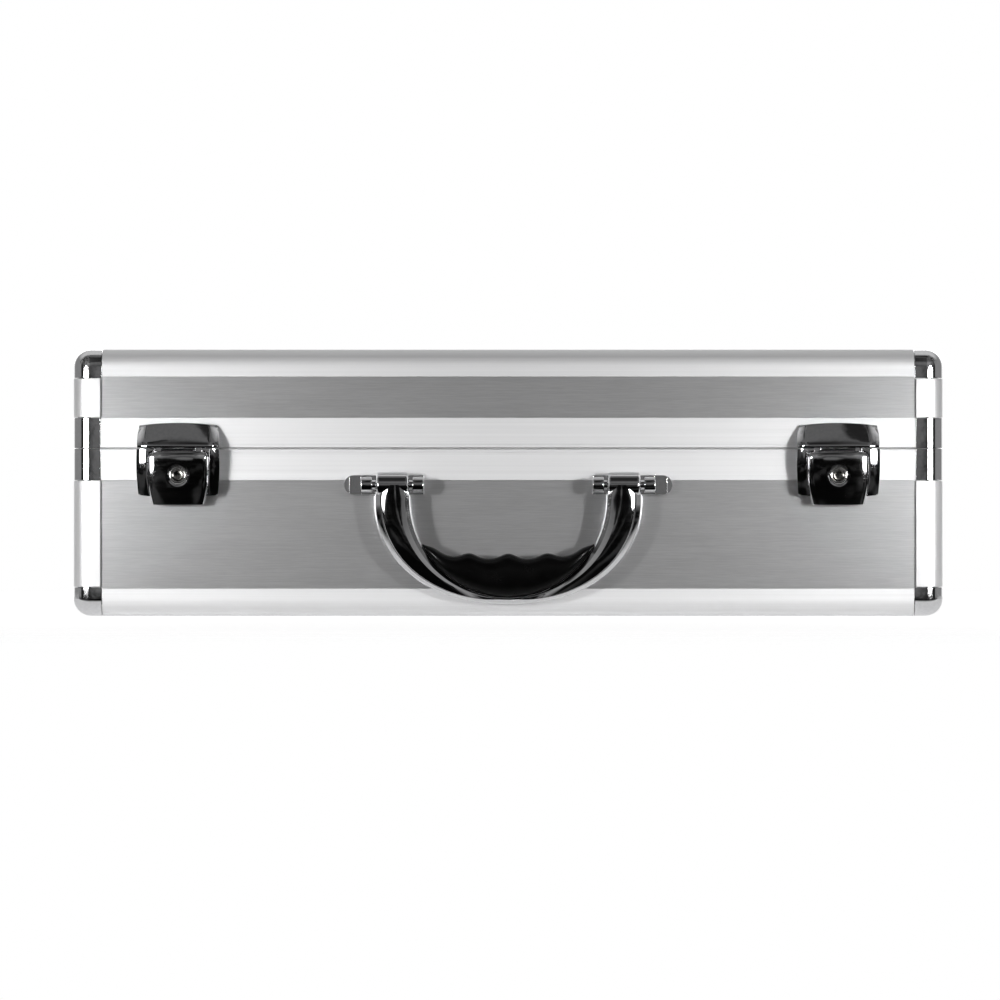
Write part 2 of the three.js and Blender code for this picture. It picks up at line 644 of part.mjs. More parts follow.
function latchFlap() {
  const across = [-LATCH_WIDTH, LATCH_WIDTH];
  const axisY = -FLAP_AXIS_OUT;
  const axisZ = -FLAP_AXIS_DROP;
  const bore = LUG_RADIUS + SEAM;
  const body = throughWidth(
    flapSection(FLAP_ROLL_RADIUS, -FLAP_DROP, FLAP_FOOT_OUT, FLAP_SKIRT_OUT, -FLAP_SKIRT_DROP), across)
    .add(barAlongX(FLAP_ROLL_RADIUS, across, axisY, axisZ))
    .intersect(throughDepth(flapOutline(0, -FLAP_DROP), [-LATCH_DEPTH * 2, 0]));
  const innerFoot = -FLAP_DROP + FLAP_WALL;
  const hollow = throughWidth(
    flapSection(bore, innerFoot, FLAP_FOOT_OUT - FLAP_WALL, -BEYOND, axisZ), across)
    .add(barAlongX(bore, across, axisY, axisZ))
    .intersect(throughDepth(flapOutline(-FLAP_WALL, innerFoot), [-LATCH_DEPTH * 2, 2 * BEYOND]));
  const lipTrim = block(
    [-FLAP_FOOT_WIDTH / 2 + FLAP_WALL, FLAP_FOOT_WIDTH / 2 - FLAP_WALL],
    [-BOSS_DEPTH - 3 * SEAM, BEYOND], [-FLAP_DROP - BEYOND, innerFoot + SEAM]);
  const reach = FLAP_ROLL_RADIUS * 1.5;
  const slotEnd = THREE.MathUtils.degToRad(LUG_SLOT_ANGLE);
  const wedge = polygon([
    [axisY, axisZ], [axisY + reach, axisZ - SEAM], [axisY + reach, axisZ + reach],
    [axisY - reach * Math.cos(slotEnd), axisZ + reach],
    [axisY - reach * Math.cos(slotEnd), axisZ + reach * Math.sin(slotEnd)],
  ]);
  const lugSlots = HANDS.map(({ side }) => throughWidth(wedge, lugSpan(side, SEAM)));
  const sleeveRadius = LOCK_RADIUS + SEAM + FLAP_WALL;
  const sleeve = barAlongY(sleeveRadius, [-LATCH_DEPTH * 2, -BOSS_DEPTH - 2 * SEAM], 0, -LOCK_DROP);
  const lockHole = barAlongY(
    holeRadius(LOCK_RADIUS, ROUND_SIDES), [-LATCH_DEPTH * 2, BEYOND], 0, -LOCK_DROP);
  const walls = cut(body, [hollow, lipTrim, ...lugSlots]).add(sleeve.intersect(body));
  return cut(walls, [lockHole, latchPinBore()]);
}

// How far the flap's front stands out at the height of the lock.
function flapFrontAtLock() {
  const foot = -FLAP_DROP;
  const start = [-FLAP_AXIS_OUT - FLAP_ROLL_RADIUS, -FLAP_AXIS_DROP];
  const pull = [-FLAP_AXIS_OUT - FLAP_ROLL_RADIUS - FLAP_BULGE, (start[1] + foot) / 2];
  const t = (LOCK_DROP - FLAP_AXIS_DROP) / (FLAP_DROP - FLAP_AXIS_DROP);
  return -((1 - t) ** 2 * start[0] + 2 * t * (1 - t) * pull[0] + t * t * -FLAP_FOOT_OUT);
}

// The key barrel, with a keyhole in front and a cam on a thin neck behind.
function latchLockBarrel() {
  const front = -flapFrontAtLock() - LOCK_PROUD;
  const back = -BOSS_DEPTH - 2 * SEAM;
  const camFront = -BOSS_DEPTH + BOSS_WALL + SEAM;
  const camBack = camFront + CAM.thickness;
  const barrel = barAlongY(LOCK_RADIUS, [front, back], 0, -LOCK_DROP);
  const neck = barAlongY(NECK_RADIUS, [back - BEYOND, camBack], 0, -LOCK_DROP, SMALL_SIDES);
  const cam = block(
    [-CAM.width / 2, CAM.width / 2], [camFront, camBack],
    [-LOCK_DROP - CAM.length / 2, -LOCK_DROP + CAM.length / 2]);
  const keyhole = barAlongY(
    KEYHOLE_RADIUS, [front - BEYOND, front + KEYHOLE_DEPTH], 0, -LOCK_DROP, SMALL_SIDES);
  const slot = block(
    [-KEY_SLOT.width / 2, KEY_SLOT.width / 2], [front - BEYOND, front + KEYHOLE_DEPTH],
    [-LOCK_DROP - KEY_SLOT.height / 2, -LOCK_DROP + KEY_SLOT.height / 2]);
  return cut(join([barrel, neck, cam]), [keyhole, slot]);
}

// The plate on the base: cheeks beside the flap, and a slotted boss that holds the turned cam.
function latchBasePlate() {
  const outline = latchOutline(
    -SEAM, -LATCH_DROP + LATCH_ARCH, LATCH_WIDTH / 2 - SEAM, LATCH_FOOT_WIDTH / 2, 0, LATCH_ARCH);
  const section = new THREE.Shape();
  section.moveTo(-SEAM, -SEAM);
  section.lineTo(-LATCH_DEPTH, -SEAM);
  section.quadraticCurveTo(-LATCH_DEPTH, -LATCH_DROP / 2, -LATCH_FOOT_DEPTH, -LATCH_DROP - SEAM);
  section.lineTo(-SEAM, -LATCH_DROP - SEAM);
  const back = -SEAM - LATCH_BACK_WALL;
  const cheeks = throughDepth(outline, [-LATCH_DEPTH - BEYOND, -SEAM])
    .intersect(throughWidth(section, [-LATCH_WIDTH, LATCH_WIDTH]));
  const channel = throughDepth(flapOutline(FLAP_SIDE_GAP, -FLAP_DROP), [-LATCH_DEPTH * 2, back]);
  const foot = block(
    [-LATCH_FOOT_WIDTH / 2 + BEYOND, LATCH_FOOT_WIDTH / 2 - BEYOND], [back / 2, PROFILE_WALL],
    [-LATCH_DROP + LATCH_ARCH, -BASE_RIM_HEIGHT - SEAM]);
  const bossHalf = BOSS_WIDTH / 2;
  const boss = block([-bossHalf, bossHalf], [-BOSS_DEPTH, back / 2], [-BOSS_FOOT_DROP, -BOSS_TOP_DROP]);
  const slotHalf = NECK_RADIUS + SEAM;
  const chamberBack = -BOSS_DEPTH + BOSS_WALL + CAM.thickness + 2 * SEAM;
  const slot = block([-slotHalf, slotHalf], [-BOSS_DEPTH - BEYOND, chamberBack],
    [-LOCK_DROP - CAM.length / 2 - CAM_SWING, -BOSS_TOP_DROP + BEYOND]);
  const camRadius = Math.hypot(CAM.length, CAM.width) / 2;
  const chamber = barAlongY(
    holeRadius(camRadius, ROUND_SIDES), [-BOSS_DEPTH + BOSS_WALL, chamberBack], 0, -LOCK_DROP);
  return join([cheeks.subtract(channel), foot, cut(boss, [slot, chamber])]);
}

function latchHingePin() {
  const half = FLAP_WIDTH / 2 - SEAM;
  return barAlongX(LATCH_PIN_RADIUS, [-half, half], -FLAP_AXIS_OUT, -FLAP_AXIS_DROP, SMALL_SIDES);
}

// One hinge leaf: upright is 1 on the lid and -1 on the base. It gets knuckles at the given spans.
function hingeLeaf(upright, knuckles, otherKnuckles) {
  const heights = (near, far) => (upright > 0 ? [near, far] : [-far, -near]);
  const half = HINGE_WIDTH / 2;
  const front = SEAM + HINGE_LEAF;
  const leafHeights = heights(HINGE_LEAF_GAP, HINGE_LEAF_HEIGHT + HINGE_LEAF_GAP);
  const plate = block([-half, half], [SEAM, front], leafHeights);
  const clear = otherKnuckles.map(([x0, x1]) => barAlongX(
    holeRadius(HINGE_KNUCKLE_RADIUS, ROUND_SIDES), [x0 - SEAM, x1 + SEAM], HINGE_AXIS_OUT, 0));
  const rolls = knuckles.flatMap((span) => [
    barAlongX(HINGE_KNUCKLE_RADIUS, span, HINGE_AXIS_OUT, 0),
    block(span, [SEAM, HINGE_AXIS_OUT], heights(HINGE_LEAF_GAP, HINGE_KNUCKLE_RADIUS)),
  ]);
  const rivetHeight = upright * (HINGE_LEAF_HEIGHT / 2 + HINGE_KNUCKLE_RADIUS / 2);
  const rivetRun = half - 2 * RIVET_RADIUS;
  const rivets = [-rivetRun, 0, rivetRun].map((x) => rivetHead(x, front, rivetHeight));
  return join([cut(plate, clear), ...rolls, ...rivets]);
}

function hingeBore() {
  const radius = holeRadius(HINGE_PIN_RADIUS, SMALL_SIDES);
  return barAlongX(radius, [-HINGE_WIDTH, HINGE_WIDTH], HINGE_AXIS_OUT, 0, SMALL_SIDES);
}

const HINGE_MIDDLE = [-HINGE_MIDDLE_KNUCKLE / 2, HINGE_MIDDLE_KNUCKLE / 2];
const HINGE_OUTER = [
  [-HINGE_WIDTH / 2, -HINGE_MIDDLE_KNUCKLE / 2 - SEAM],
  [HINGE_MIDDLE_KNUCKLE / 2 + SEAM, HINGE_WIDTH / 2],
];

// The base leaf's stop pad is where the lid leaf's heel lands when the lid is fully open.
function hingeBaseLeaf() {
  const padFront = HINGE_AXIS_OUT - HEEL_THICKNESS / 2 - SEAM;
  const padTop = -HINGE_KNUCKLE_RADIUS - 2 * SEAM;
  const pad = block(HINGE_MIDDLE, [SEAM, padFront], [padTop - STOP_PAD_HEIGHT, padTop]);
  return hingeLeaf(-1, HINGE_OUTER, [HINGE_MIDDLE]).add(pad).subtract(hingeBore());
}

function hingeLidLeaf() {
  const lift = THREE.MathUtils.degToRad(HINGE_STOP_ANGLE - 90);
  const reach = HINGE_REAR_REACH - HINGE_AXIS_OUT - (HEEL_THICKNESS / 2) * Math.sin(lift);
  const length = reach / Math.cos(lift);
  const heel = new THREE.BoxGeometry(HINGE_MIDDLE_KNUCKLE, length, HEEL_THICKNESS)
    .translate(0, length / 2, 0).rotateX(lift).translate(0, HINGE_AXIS_OUT, 0);
  return hingeLeaf(1, [HINGE_MIDDLE], HINGE_OUTER).add(solidOf(heel)).subtract(hingeBore());
}

function hingePin() {
  const half = HINGE_WIDTH / 2 - SEAM;
  return barAlongX(HINGE_PIN_RADIUS, [-half, half], HINGE_AXIS_OUT, 0, SMALL_SIDES);
}

function handle() {
  const group = new THREE.Group();
  group.position.set(0, -HALF_DEPTH - HANDLE_AXIS_OUT, HANDLE_AXIS_HEIGHT);
  group.add(named('handle_bow', handleBow(), FINISHES.chrome));
  group.add(named('handle_grip', handleGrip(), FINISHES.grip));
  for (const { place, side } of HANDS) {
    const mount = new THREE.Group();
    mount.position.x = (side * HANDLE_EYE_SPACING) / 2;
    mount.add(named(`handle_bracket_${place}`, handleBracket(side), FINISHES.chrome));
    mount.add(named(`handle_pin_${place}`, handlePin(side), FINISHES.steel));
    group.add(mount);
  }
  return group;
}

function latch({ place, side }) {
  const group = new THREE.Group();
  group.position.set((side * LATCH_SPACING) / 2, -HALF_DEPTH, PARTING_HEIGHT);
  group.add(named(`latch_lid_plate_${place}`, latchLidPlate(), FINISHES.chrome));
  group.add(named(`latch_base_plate_${place}`, latchBasePlate(), FINISHES.chrome));
  group.add(named(`latch_flap_${place}`, latchFlap(), FINISHES.chrome));
  group.add(named(`latch_hinge_pin_${place}`, latchHingePin(), FINISHES.steel));
  group.add(named(`latch_lock_barrel_${place}`, latchLockBarrel(), FINISHES.steel));
  return group;
}

function hinge({ place, side }) {
  const group = new THREE.Group();
  group.position.set((side * HINGE_SPACING) / 2, HALF_DEPTH, PARTING_HEIGHT);
  group.add(named(`hinge_base_leaf_${place}`, hingeBaseLeaf(), FINISHES.steel));
  group.add(named(`hinge_lid_leaf_${place}`, hingeLidLeaf(), FINISHES.steel));
  group.add(named(`hinge_pin_${place}`, hingePin(), FINISHES.steel));
  return group;
}

// The origin is under the middle of the whole object, so the case body sits back a little
// to balance the handle in front against the hinge heels behind.
const FRONT_REACH = HANDLE_AXIS_OUT + GRIP_THICKNESS / 2;
const toolCase = new THREE.Group();
toolCase.position.y = (FRONT_REACH - HINGE_REAR_REACH) / 2;
toolCase.add(baseHalf(), lidHalf(), handle());
for (const hand of HANDS) {
  toolCase.add(latch(hand), hinge(hand));
}
toolCase.updateMatrixWorld(true);

export default toolCase;
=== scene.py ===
"""A framed aluminium tool case: fine surfaces and finishes built around its fixed frame."""

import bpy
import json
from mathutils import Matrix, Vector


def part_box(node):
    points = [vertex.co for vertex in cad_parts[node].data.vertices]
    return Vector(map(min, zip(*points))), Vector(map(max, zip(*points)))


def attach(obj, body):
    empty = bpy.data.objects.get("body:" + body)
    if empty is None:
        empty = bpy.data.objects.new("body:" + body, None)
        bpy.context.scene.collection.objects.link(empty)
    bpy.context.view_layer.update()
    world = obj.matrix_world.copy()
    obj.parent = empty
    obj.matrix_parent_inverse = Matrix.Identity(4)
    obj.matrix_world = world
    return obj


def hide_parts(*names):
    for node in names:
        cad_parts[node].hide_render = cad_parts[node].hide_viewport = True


bl_info = {
    "name": "Framed Tool Case",
    "version": (1, 0, 0),
    "blender": (4, 5, 0),
    "location": "3D View > Sidebar > Tool Case",
    "description": "Fine surfaces and finishes for a framed aluminium tool case",
    "category": "Add Mesh",
}

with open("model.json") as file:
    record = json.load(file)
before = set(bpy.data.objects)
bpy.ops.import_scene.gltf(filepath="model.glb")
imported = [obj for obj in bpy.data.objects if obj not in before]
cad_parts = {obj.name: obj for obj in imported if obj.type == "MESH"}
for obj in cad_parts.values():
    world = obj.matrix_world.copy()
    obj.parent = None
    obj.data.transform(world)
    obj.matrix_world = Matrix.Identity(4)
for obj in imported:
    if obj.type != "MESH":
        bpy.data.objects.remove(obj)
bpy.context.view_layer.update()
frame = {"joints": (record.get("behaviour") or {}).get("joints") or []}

import json
import math

import bmesh
import bpy
from bpy.props import FloatProperty, FloatVectorProperty, PointerProperty
from mathutils import Matrix, Vector

MM = 0.001
WELD = 0.004 * MM
HAIRLINE = 0.3 * MM
SUNK = 0.1 * MM
FINE_EDGE = 0.2 * MM
PLAIN_EDGE = 0.3 * MM
PRESSED_EDGE = 0.35 * MM
BROAD_EDGE = 0.5 * MM
RIGHT_ANGLE = math.pi / 2
FULL_TURN = 2 * math.pi
X, Y, Z = Vector((1, 0, 0)), Vector((0, 1, 0)), Vector((0, 0, 1))


# Places read from the frame

def lowest(node):
    """The lowest corner of a node at rest."""
    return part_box(node)[0]


def highest(node):
    """The highest corner of a node at rest."""
    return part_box(node)[1]


LEFT = lowest("base_bottom_edge_left").x
RIGHT = highest("base_bottom_edge_right").x
FRONT = lowest("base_bottom_edge_front").y
BACK = highest("base_bottom_edge_back").y
FOOT = lowest("base_bottom_edge_front").z
TOP = highest("lid_top_edge_front").z
BASE_TOP = highest("base_rim_corner_front_left").z
LID_FOOT = lowest("lid_rim_corner_front_left").z
BASE_RIM_FOOT = lowest("base_rim_corner_front_left").z
LID_RIM_TOP = highest("lid_rim_corner_front_left").z
PARTING = (BASE_TOP + LID_FOOT) / 2
PROFILE_LEG = highest("base_bottom_edge_front").z - FOOT
BALL_REACH = highest("base_ball_corner_front_left").z - FOOT
BASE_SHELL_TOP = highest("base_shell").z
LID_SHELL_FOOT = lowest("lid_shell").z
TONGUE_TOP = highest("base_rim_frame").z
JOINTS = {joint["name"]: joint for joint in frame["joints"]}
HANDLE_AXIS = Vector(JOINTS["handle_swing"]["pos_m"])
HINGE_AXIS = Vector(JOINTS["lid_hinge"]["pos_m"])

CORNERS = {"front_left": (-1, -1), "front_right": (1, -1), "back_left": (-1, 1), "back_right": (1, 1)}
SIDES = {"front": -Y, "back": Y, "left": -X, "right": X}
HANDS = {"left": -1, "right": 1}
HALVES = {
    "base": {"edge": "bottom", "outer": FOOT, "inward": Z, "rim": (BASE_RIM_FOOT, BASE_TOP)},
    "lid": {"edge": "top", "outer": TOP, "inward": -Z, "rim": (LID_FOOT, LID_RIM_TOP)},
}


def middle_of(node):
    """The middle of a node at rest."""
    low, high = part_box(node)
    return (low + high) / 2


# Sizes and colours that a user would change

def size(name, description, millimetres):
    """A length whose default is given in millimetres."""
    return FloatProperty(
        name=name, description=description, default=millimetres * MM, min=0.0, unit="LENGTH")


def angle(name, description, degrees):
    """An angle whose default is given in degrees."""
    return FloatProperty(name=name, description=description, default=math.radians(degrees), unit="ROTATION")


def plain(name, description, default):
    """A number without a unit."""
    return FloatProperty(name=name, description=description, default=default, min=0.0)


def colour(name, description, red, green, blue):
    """A plain colour."""
    return FloatVectorProperty(
        name=name, description=description, default=(red, green, blue), subtype="COLOR", min=0.0, max=1.0)


class CaseSizes(bpy.types.PropertyGroup):
    edge_radius: size("Edge radius", "Round outer edge of the profiles and corners", 9.0)
    wall: size("Profile wall", "Wall of the extruded profiles and the rim frames", 1.5)
    corner_wall: size("Corner wall", "Wall of the plated corners", 1.3)
    board: size("Board", "Thickness of the faced boards", 4.2)
    board_inset: size("Board inset", "How far the boards lie behind the profiles", 1.8)
    board_cover: size("Board cover", "How far the boards' ends stay from the outer faces", 9.3)
    lining: size("Lining", "Thickness of the flocked lining", 0.8)
    inner_leg: size("Inner leg inset", "Where the rim frame's inner leg starts", 7.1)
    tongue_inset: size("Tongue inset", "Where the base rim's tongue stands", 3.6)
    tongue: size("Tongue", "Thickness of the base rim's tongue", 1.5)
    headroom: size("Tongue headroom", "Space over the tongue in the lid's groove", 2.0)
    groove_place: size("Groove place", "From the parting line to the rim's fine groove", 1.9)
    groove: size("Groove", "Half width and depth of the rim's fine groove", 0.14)
    soft_edge: size("Soft edge", "Rounding of sawn and rolled edges", 0.25)
    seam_chamfer: size("Seam chamfer", "Height of the rims' chamfers along the parting line", 0.42)
    seam_depth: size("Seam depth", "Depth of the rims' chamfers along the parting line", 1.2)


class LatchSizes(bpy.types.PropertyGroup):
    width: size("Width", "Width at the parting line", 43.2)
    top_width: size("Top width", "Width of the lid plate's top", 40.9)
    foot_width: size("Foot width", "Width of the base plate's foot", 41.8)
    rise: size("Rise", "Height of the lid plate over the parting line", 13.3)
    drop: size("Drop", "Reach of the base plate under the parting line", 25.8)
    arch: size("Arch", "Bow of the top and bottom outlines", 1.3)
    belly: size("Belly", "Outward bow of the side outlines", 0.6)
    depth: size("Depth", "How far the latch stands out", 11.4)
    top_depth: size("Top depth", "How far the lid plate's top stands out", 3.4)
    shoulder: size("Shoulder", "Height where the lid plate starts to lean back", 1.7)
    shoulder_round: size("Shoulder round", "Rounding where the lid plate starts to lean back", 1.2)
    foot_depth: size("Foot depth", "How far the base plate's foot stands out", 7.0)
    back_wall: size("Back wall", "Wall behind the flap", 1.5)
    plate_tuck: size("Plate tuck", "How far the lid plate's foot lies back from its shoulder", 0.45)
    plate_crown: size("Plate crown", "Outward bow of the lid plate from side to side", 0.5)
    side_start: plain("Side start", "Share of the half width where the sides start to fall away", 0.76)
    side_fall: size("Side fall", "How far the sides fall away", 1.9)
    edge: size("Edge", "Rounding of the cast edges", 0.45)
    flap_width: size("Flap width", "Width of the flap's upper part", 32.4)
    flap_foot: size("Flap foot", "Width of the flap's foot", 27.6)
    flap_drop: size("Flap drop", "Reach of the flap under the parting line", 29.7)
    flap_out: size("Flap foot out", "How far the flap's foot stands out", 9.0)
    flap_lean: angle("Flap lean", "How far the flap leans out under its rolled top", 9.0)
    flap_knee: size("Flap knee", "From the rolled top to where the flap leans back in", 3.6)
    flap_crown: size("Flap crown", "Outward bow of the flap from side to side", 0.7)
    flap_wall: size("Flap wall", "Wall of the flap", 1.3)
    flap_rim: size("Flap rim", "Rounding of the flap's rims", 0.25)
    flap_gap: size("Flap gap", "Gap between the flap and the cheeks", 0.4)
    flap_edge: size("Flap edge", "How far the flap's side edges roll back", 2.4)
    flap_squareness: plain("Flap squareness", "How late the flap's side edges start to roll back", 8.0)
    roll: size("Roll", "Radius of the flap's rolled top", 4.2)
    skirt: size("Skirt", "Where the flap's side walls end, out from the case", 2.6)
    lip: size("Lip", "Where the flap's foot wall ends over the boss", 6.4)
    lug_spacing: size("Lug spacing", "Between the lid plate's two lugs", 21.5)
    lug_width: size("Lug width", "Width of a lug", 3.5)
    lug: size("Lug radius", "Radius of a lug's eye", 2.5)
    pin: size("Pin", "Radius of the flap's pin", 1.2)
    lock: size("Lock radius", "Radius of the key barrel", 4.7)
    lock_proud: size("Lock proud", "How far the barrel stands out of the flap", 0.35)
    dish: size("Dish", "Radius of the dish round the key barrel", 6.2)
    dish_depth: size("Dish depth", "Depth of the dish round the key barrel", 0.25)
    hole_depth: size("Hole depth", "How far the edge of the flap's lock hole turns in", 1.2)
    keyhole: size("Keyhole", "Radius of the keyhole", 2.4)
    keyhole_foot: size("Keyhole foot", "Radius at the foot of the keyhole", 0.05)
    keyhole_depth: size("Keyhole depth", "Depth of the keyhole", 6.6)
    ring: size("Ring", "Inner radius of the barrel's ring", 3.3)
    ring_sunk: size("Ring sunk", "How far the ring's inner edge lies behind the barrel's front", 0.35)
    ring_fall: size("Ring fall", "How much further back the ring's outer edge lies", 0.3)
    ring_slope: size("Ring slope", "Depth of the slope from the ring down to the keyhole", 0.9)
    neck: size("Neck", "Radius of the cam's neck", 1.5)
    cam_length: size("Cam length", "Length of the locking cam", 8.0)
    cam_width: size("Cam width", "Width of the locking cam", 1.6)
    cam: size("Cam", "Thickness of the locking cam", 1.3)
    boss_width: size("Boss width", "Width of the slotted boss", 14.0)
    boss_depth: size("Boss depth", "How far the boss stands out", 5.5)
    boss_wall: size("Boss wall", "Wall of the boss", 1.5)
    boss_top: size("Boss top", "Boss's top under the parting line", 9.2)
    boss_foot: size("Boss foot", "Boss's foot under the parting line", 22.0)


class HandleSizes(bpy.types.PropertyGroup):
    eye_radius: size("Eye radius", "Radius of the bow's eyes", 6.8)
    eye_width: size("Eye width", "Width of the bow's eyes", 16.8)
    eye_edge: size("Eye edge", "Rounding of the bow's eyes", 1.5)
    pin: size("Pin", "Radius of the handle's pins", 1.6)
    pin_edge: size("Pin edge", "Rounding of the handle's pins", 0.4)
    shoulder: size("Shoulder", "Drop from the axis to the bow's shoulders", 7.1)
    outer_width: size("Outer width", "Outer width of the bow", 140.4)
    inner_width: size("Inner width", "Inner width of the bow", 102.4)
    drop: size("Drop", "Drop from the axis to the bow's foot", 62.3)
    band: size("Band", "Height of the bow under the grip", 3.0)
    thickness: size("Thickness", "Thickness of the bow, front to back", 14.0)
    squareness: plain("Squareness", "How square the bow's outer line is, 2 is an ellipse", 2.2)
    outer_level: size("Outer level", "Height of the bow's outer edge over its middle", 1.3)
    inner_level: size("Inner level", "Height of the bow's inner edge over its middle", 3.6)
    crown: size("Crown", "Bow of the crown between its two sides", 0.3)
    taper: size("Taper", "How much lower the bow's front is at its foot", 1.6)
    lit_drop: size("Lit drop", "Drop from the axis to where the crown's steep side runs out", 30.0)
    grip_thickness: size("Grip thickness", "Thickness of the grip, front to back", 18.0)
    grip_tip: size("Grip tip", "Thickness of the grip's tips", 4.4)
    grip_top: size("Grip top", "Drop from the axis to the grip's top", 37.6)
    grip_tip_drop: size("Grip tip drop", "Drop from the axis to the grip's tips", 30.8)
    wave: size("Wave", "Height of the finger waves", 1.3)
    wave_spacing: size("Wave spacing", "Between two finger waves", 20.4)
    bracket_height: size("Bracket height", "Height of the brackets", 10.2)
    plate: size("Bracket plate", "Thickness of the bracket's plate", 2.2)
    pad: size("Bracket pad", "How far the bracket's pad stands out", 5.0)
    pad_length: size("Pad length", "Length of the bracket's pad", 9.0)
    pad_slope: size("Pad slope", "Length of the pad's sloping end", 2.8)
    pad_fall: size("Pad fall", "How far the pad's sloping end falls", 1.8)
    collar: size("Collar", "Radius of the collars beside the eyes", 2.5)
    inner_reach: size("Inner reach", "From the eye's middle to the bracket's inner end", 16.4)
    outer_reach: size("Outer reach", "From the eye's middle to the bracket's outer end", 25.4)
    knuckle: size("Knuckle", "Radius of the bracket's knuckles", 4.2)
    knuckle_edge: size("Knuckle edge", "Rounding of the bracket's knuckles", 0.7)
    knuckle_gap: size("Knuckle gap", "Between the eye and the outer knuckle", 2.1)


class HingeSizes(bpy.types.PropertyGroup):
    width: size("Width", "Width of a hinge", 45.0)
    leaf_height: size("Leaf height", "Height of a leaf", 14.0)
    leaf: size("Leaf", "Thickness of a leaf", 1.5)
    leaf_gap: size("Leaf gap", "Half the gap between the leaves", 0.5)
    knuckle: size("Knuckle", "Radius of the knuckles", 3.2)
    pin: size("Pin", "Radius of the pin", 1.5)
    middle: size("Middle knuckle", "Length of the middle knuckle", 15.0)
    stop: angle("Stop angle", "How far the lid opens", 100.0)
    reach: size("Rear reach", "From the case's back to the heel's end", 12.0)
    heel: size("Heel", "Thickness of the stop heel", 2.4)
    pad_height: size("Stop pad", "Height of the stop pad", 3.0)
    rivet: size("Rivet", "Radius of the rivet heads", 2.4)
    rivet_height: size("Rivet height", "Height of the rivet heads", 1.0)


class FoamSizes(bpy.types.PropertyGroup):
    square: size("Square", "Side of the scored foam squares", 15.0)
    score: size("Score", "Half width of a scored line", 0.45)
    score_depth: size("Score depth", "Depth of a scored line", 1.4)
    crate_pitch: size("Crate pitch", "Between two bumps of the lid's foam", 31.5)
    crate_height: size("Crate height", "Height of a bump of the lid's foam", 10.0)
    crate_step: size("Crate step", "Mesh step of the lid's foam", 2.6)


class Finishes(bpy.types.PropertyGroup):
    anodised: colour("Anodised", "Satin anodised profiles", 0.83, 0.83, 0.835)
    brushed: colour("Brushed", "Brushed aluminium faces", 0.7, 0.7, 0.705)
    chrome: colour("Chrome", "Polished chrome plate", 0.8, 0.8, 0.81)
    nickel: colour("Nickel", "Bright nickel plate", 0.66, 0.655, 0.64)
    grip: colour("Grip", "Black soft plastic", 0.002, 0.002, 0.002)
    foam: colour("Foam", "Charcoal foam", 0.045, 0.045, 0.048)
    lining: colour("Lining", "Charcoal flocked lining", 0.05, 0.05, 0.053)


class StageSettings(bpy.types.PropertyGroup):
    camera_distance: size("Camera distance", "From the case's front to the camera", 4000.0)
    key_aside: size("Key aside", "How far aside the small lamps stand", 1040.0)
    key_ahead: size("Key ahead", "How far in front the small lamps stand", 1400.0)
    key_height: size("Key height", "Height of the small lamps", 170.0)
    key_side: size("Key side", "Side of the small lamps", 150.0)
    key_aim: size("Key aim", "How far aside the small lamps are aimed", 100.0)
    key_spread: angle("Key spread", "Beam angle of the small lamps", 18.0)
    key_watts: plain("Key power", "Power of each small lamp in watts", 0.14)
    panel_aside: size("Panel aside", "How far aside the light panels stand", 386.0)
    panel_ahead: size("Panel ahead", "How far in front the light panels stand", 278.0)
    panel_width: size("Panel width", "Width of the light panels", 190.0)
    panel_height: size("Panel height", "Height of the light panels", 120.0)
    panel_middle: size("Panel middle", "Height of the light panels' middle", 76.0)
    panel_turn: angle("Panel turn", "Turn of the light panels from straight ahead", 29.5)
    panel_spread: angle("Panel spread", "Beam angle of the light panels", 58.0)
    panel_watts: plain("Panel power", "Power of each light panel in watts", 0.1)
    rear_behind: size("Rear behind", "How far behind the soft lamp stands", 1100.0)
    rear_height: size("Rear height", "Height of the soft lamp behind", 400.0)
    rear_aim: size("Rear aim", "Height that the soft lamp behind is aimed at", 80.0)
    rear_width: size("Rear width", "Width of the soft lamp behind", 1200.0)
    rear_side: size("Rear side", "Height of the soft lamp's face", 500.0)
    rear_watts: plain("Rear power", "Power of the soft lamp behind in watts", 6.0)
    floor_radius: size("Floor radius", "Radius of the round floor", 1000.0)
    pale_floor: size("Pale floor", "How far ahead the metal mirrors a pale floor", 18.0)
    dim_floor: size("Dim floor", "How far ahead the metal starts to mirror a dim floor", 40.0)


class ToolCaseSettings(bpy.types.PropertyGroup):
    case: PointerProperty(type=CaseSizes, name="Case", description="Sizes of the case's frame and boards")
    latch: PointerProperty(type=LatchSizes, name="Latch", description="Sizes of the latches")
    handle: PointerProperty(type=HandleSizes, name="Handle", description="Sizes of the handle")
    hinge: PointerProperty(type=HingeSizes, name="Hinge", description="Sizes of the hinges")
    foam: PointerProperty(type=FoamSizes, name="Foam", description="Sizes of the foam lining")
    finishes: PointerProperty(type=Finishes, name="Finishes", description="Colours of the finishes")
    stage: PointerProperty(type=StageSettings, name="Stage", description="Camera and lamps")


# Mesh making

def of_kind(geometry, kind):
    return [item for item in geometry if isinstance(item, kind)]


def verts_of(geometry):
    return of_kind(geometry, bmesh.types.BMVert)


def edges_of(geometry):
    return of_kind(geometry, bmesh.types.BMEdge)


def drawn_out(bm, loop, move):
    """Draws an edge loop out by a vector and returns the new loop."""
    made = bmesh.ops.extrude_edge_only(bm, edges=edges_of(loop))["geom"]
    verts = verts_of(made)
    fresh = set(verts)
    bmesh.ops.translate(bm, vec=move, verts=verts)
    return verts + [edge for edge in edges_of(made) if all(v in fresh for v in edge.verts)]


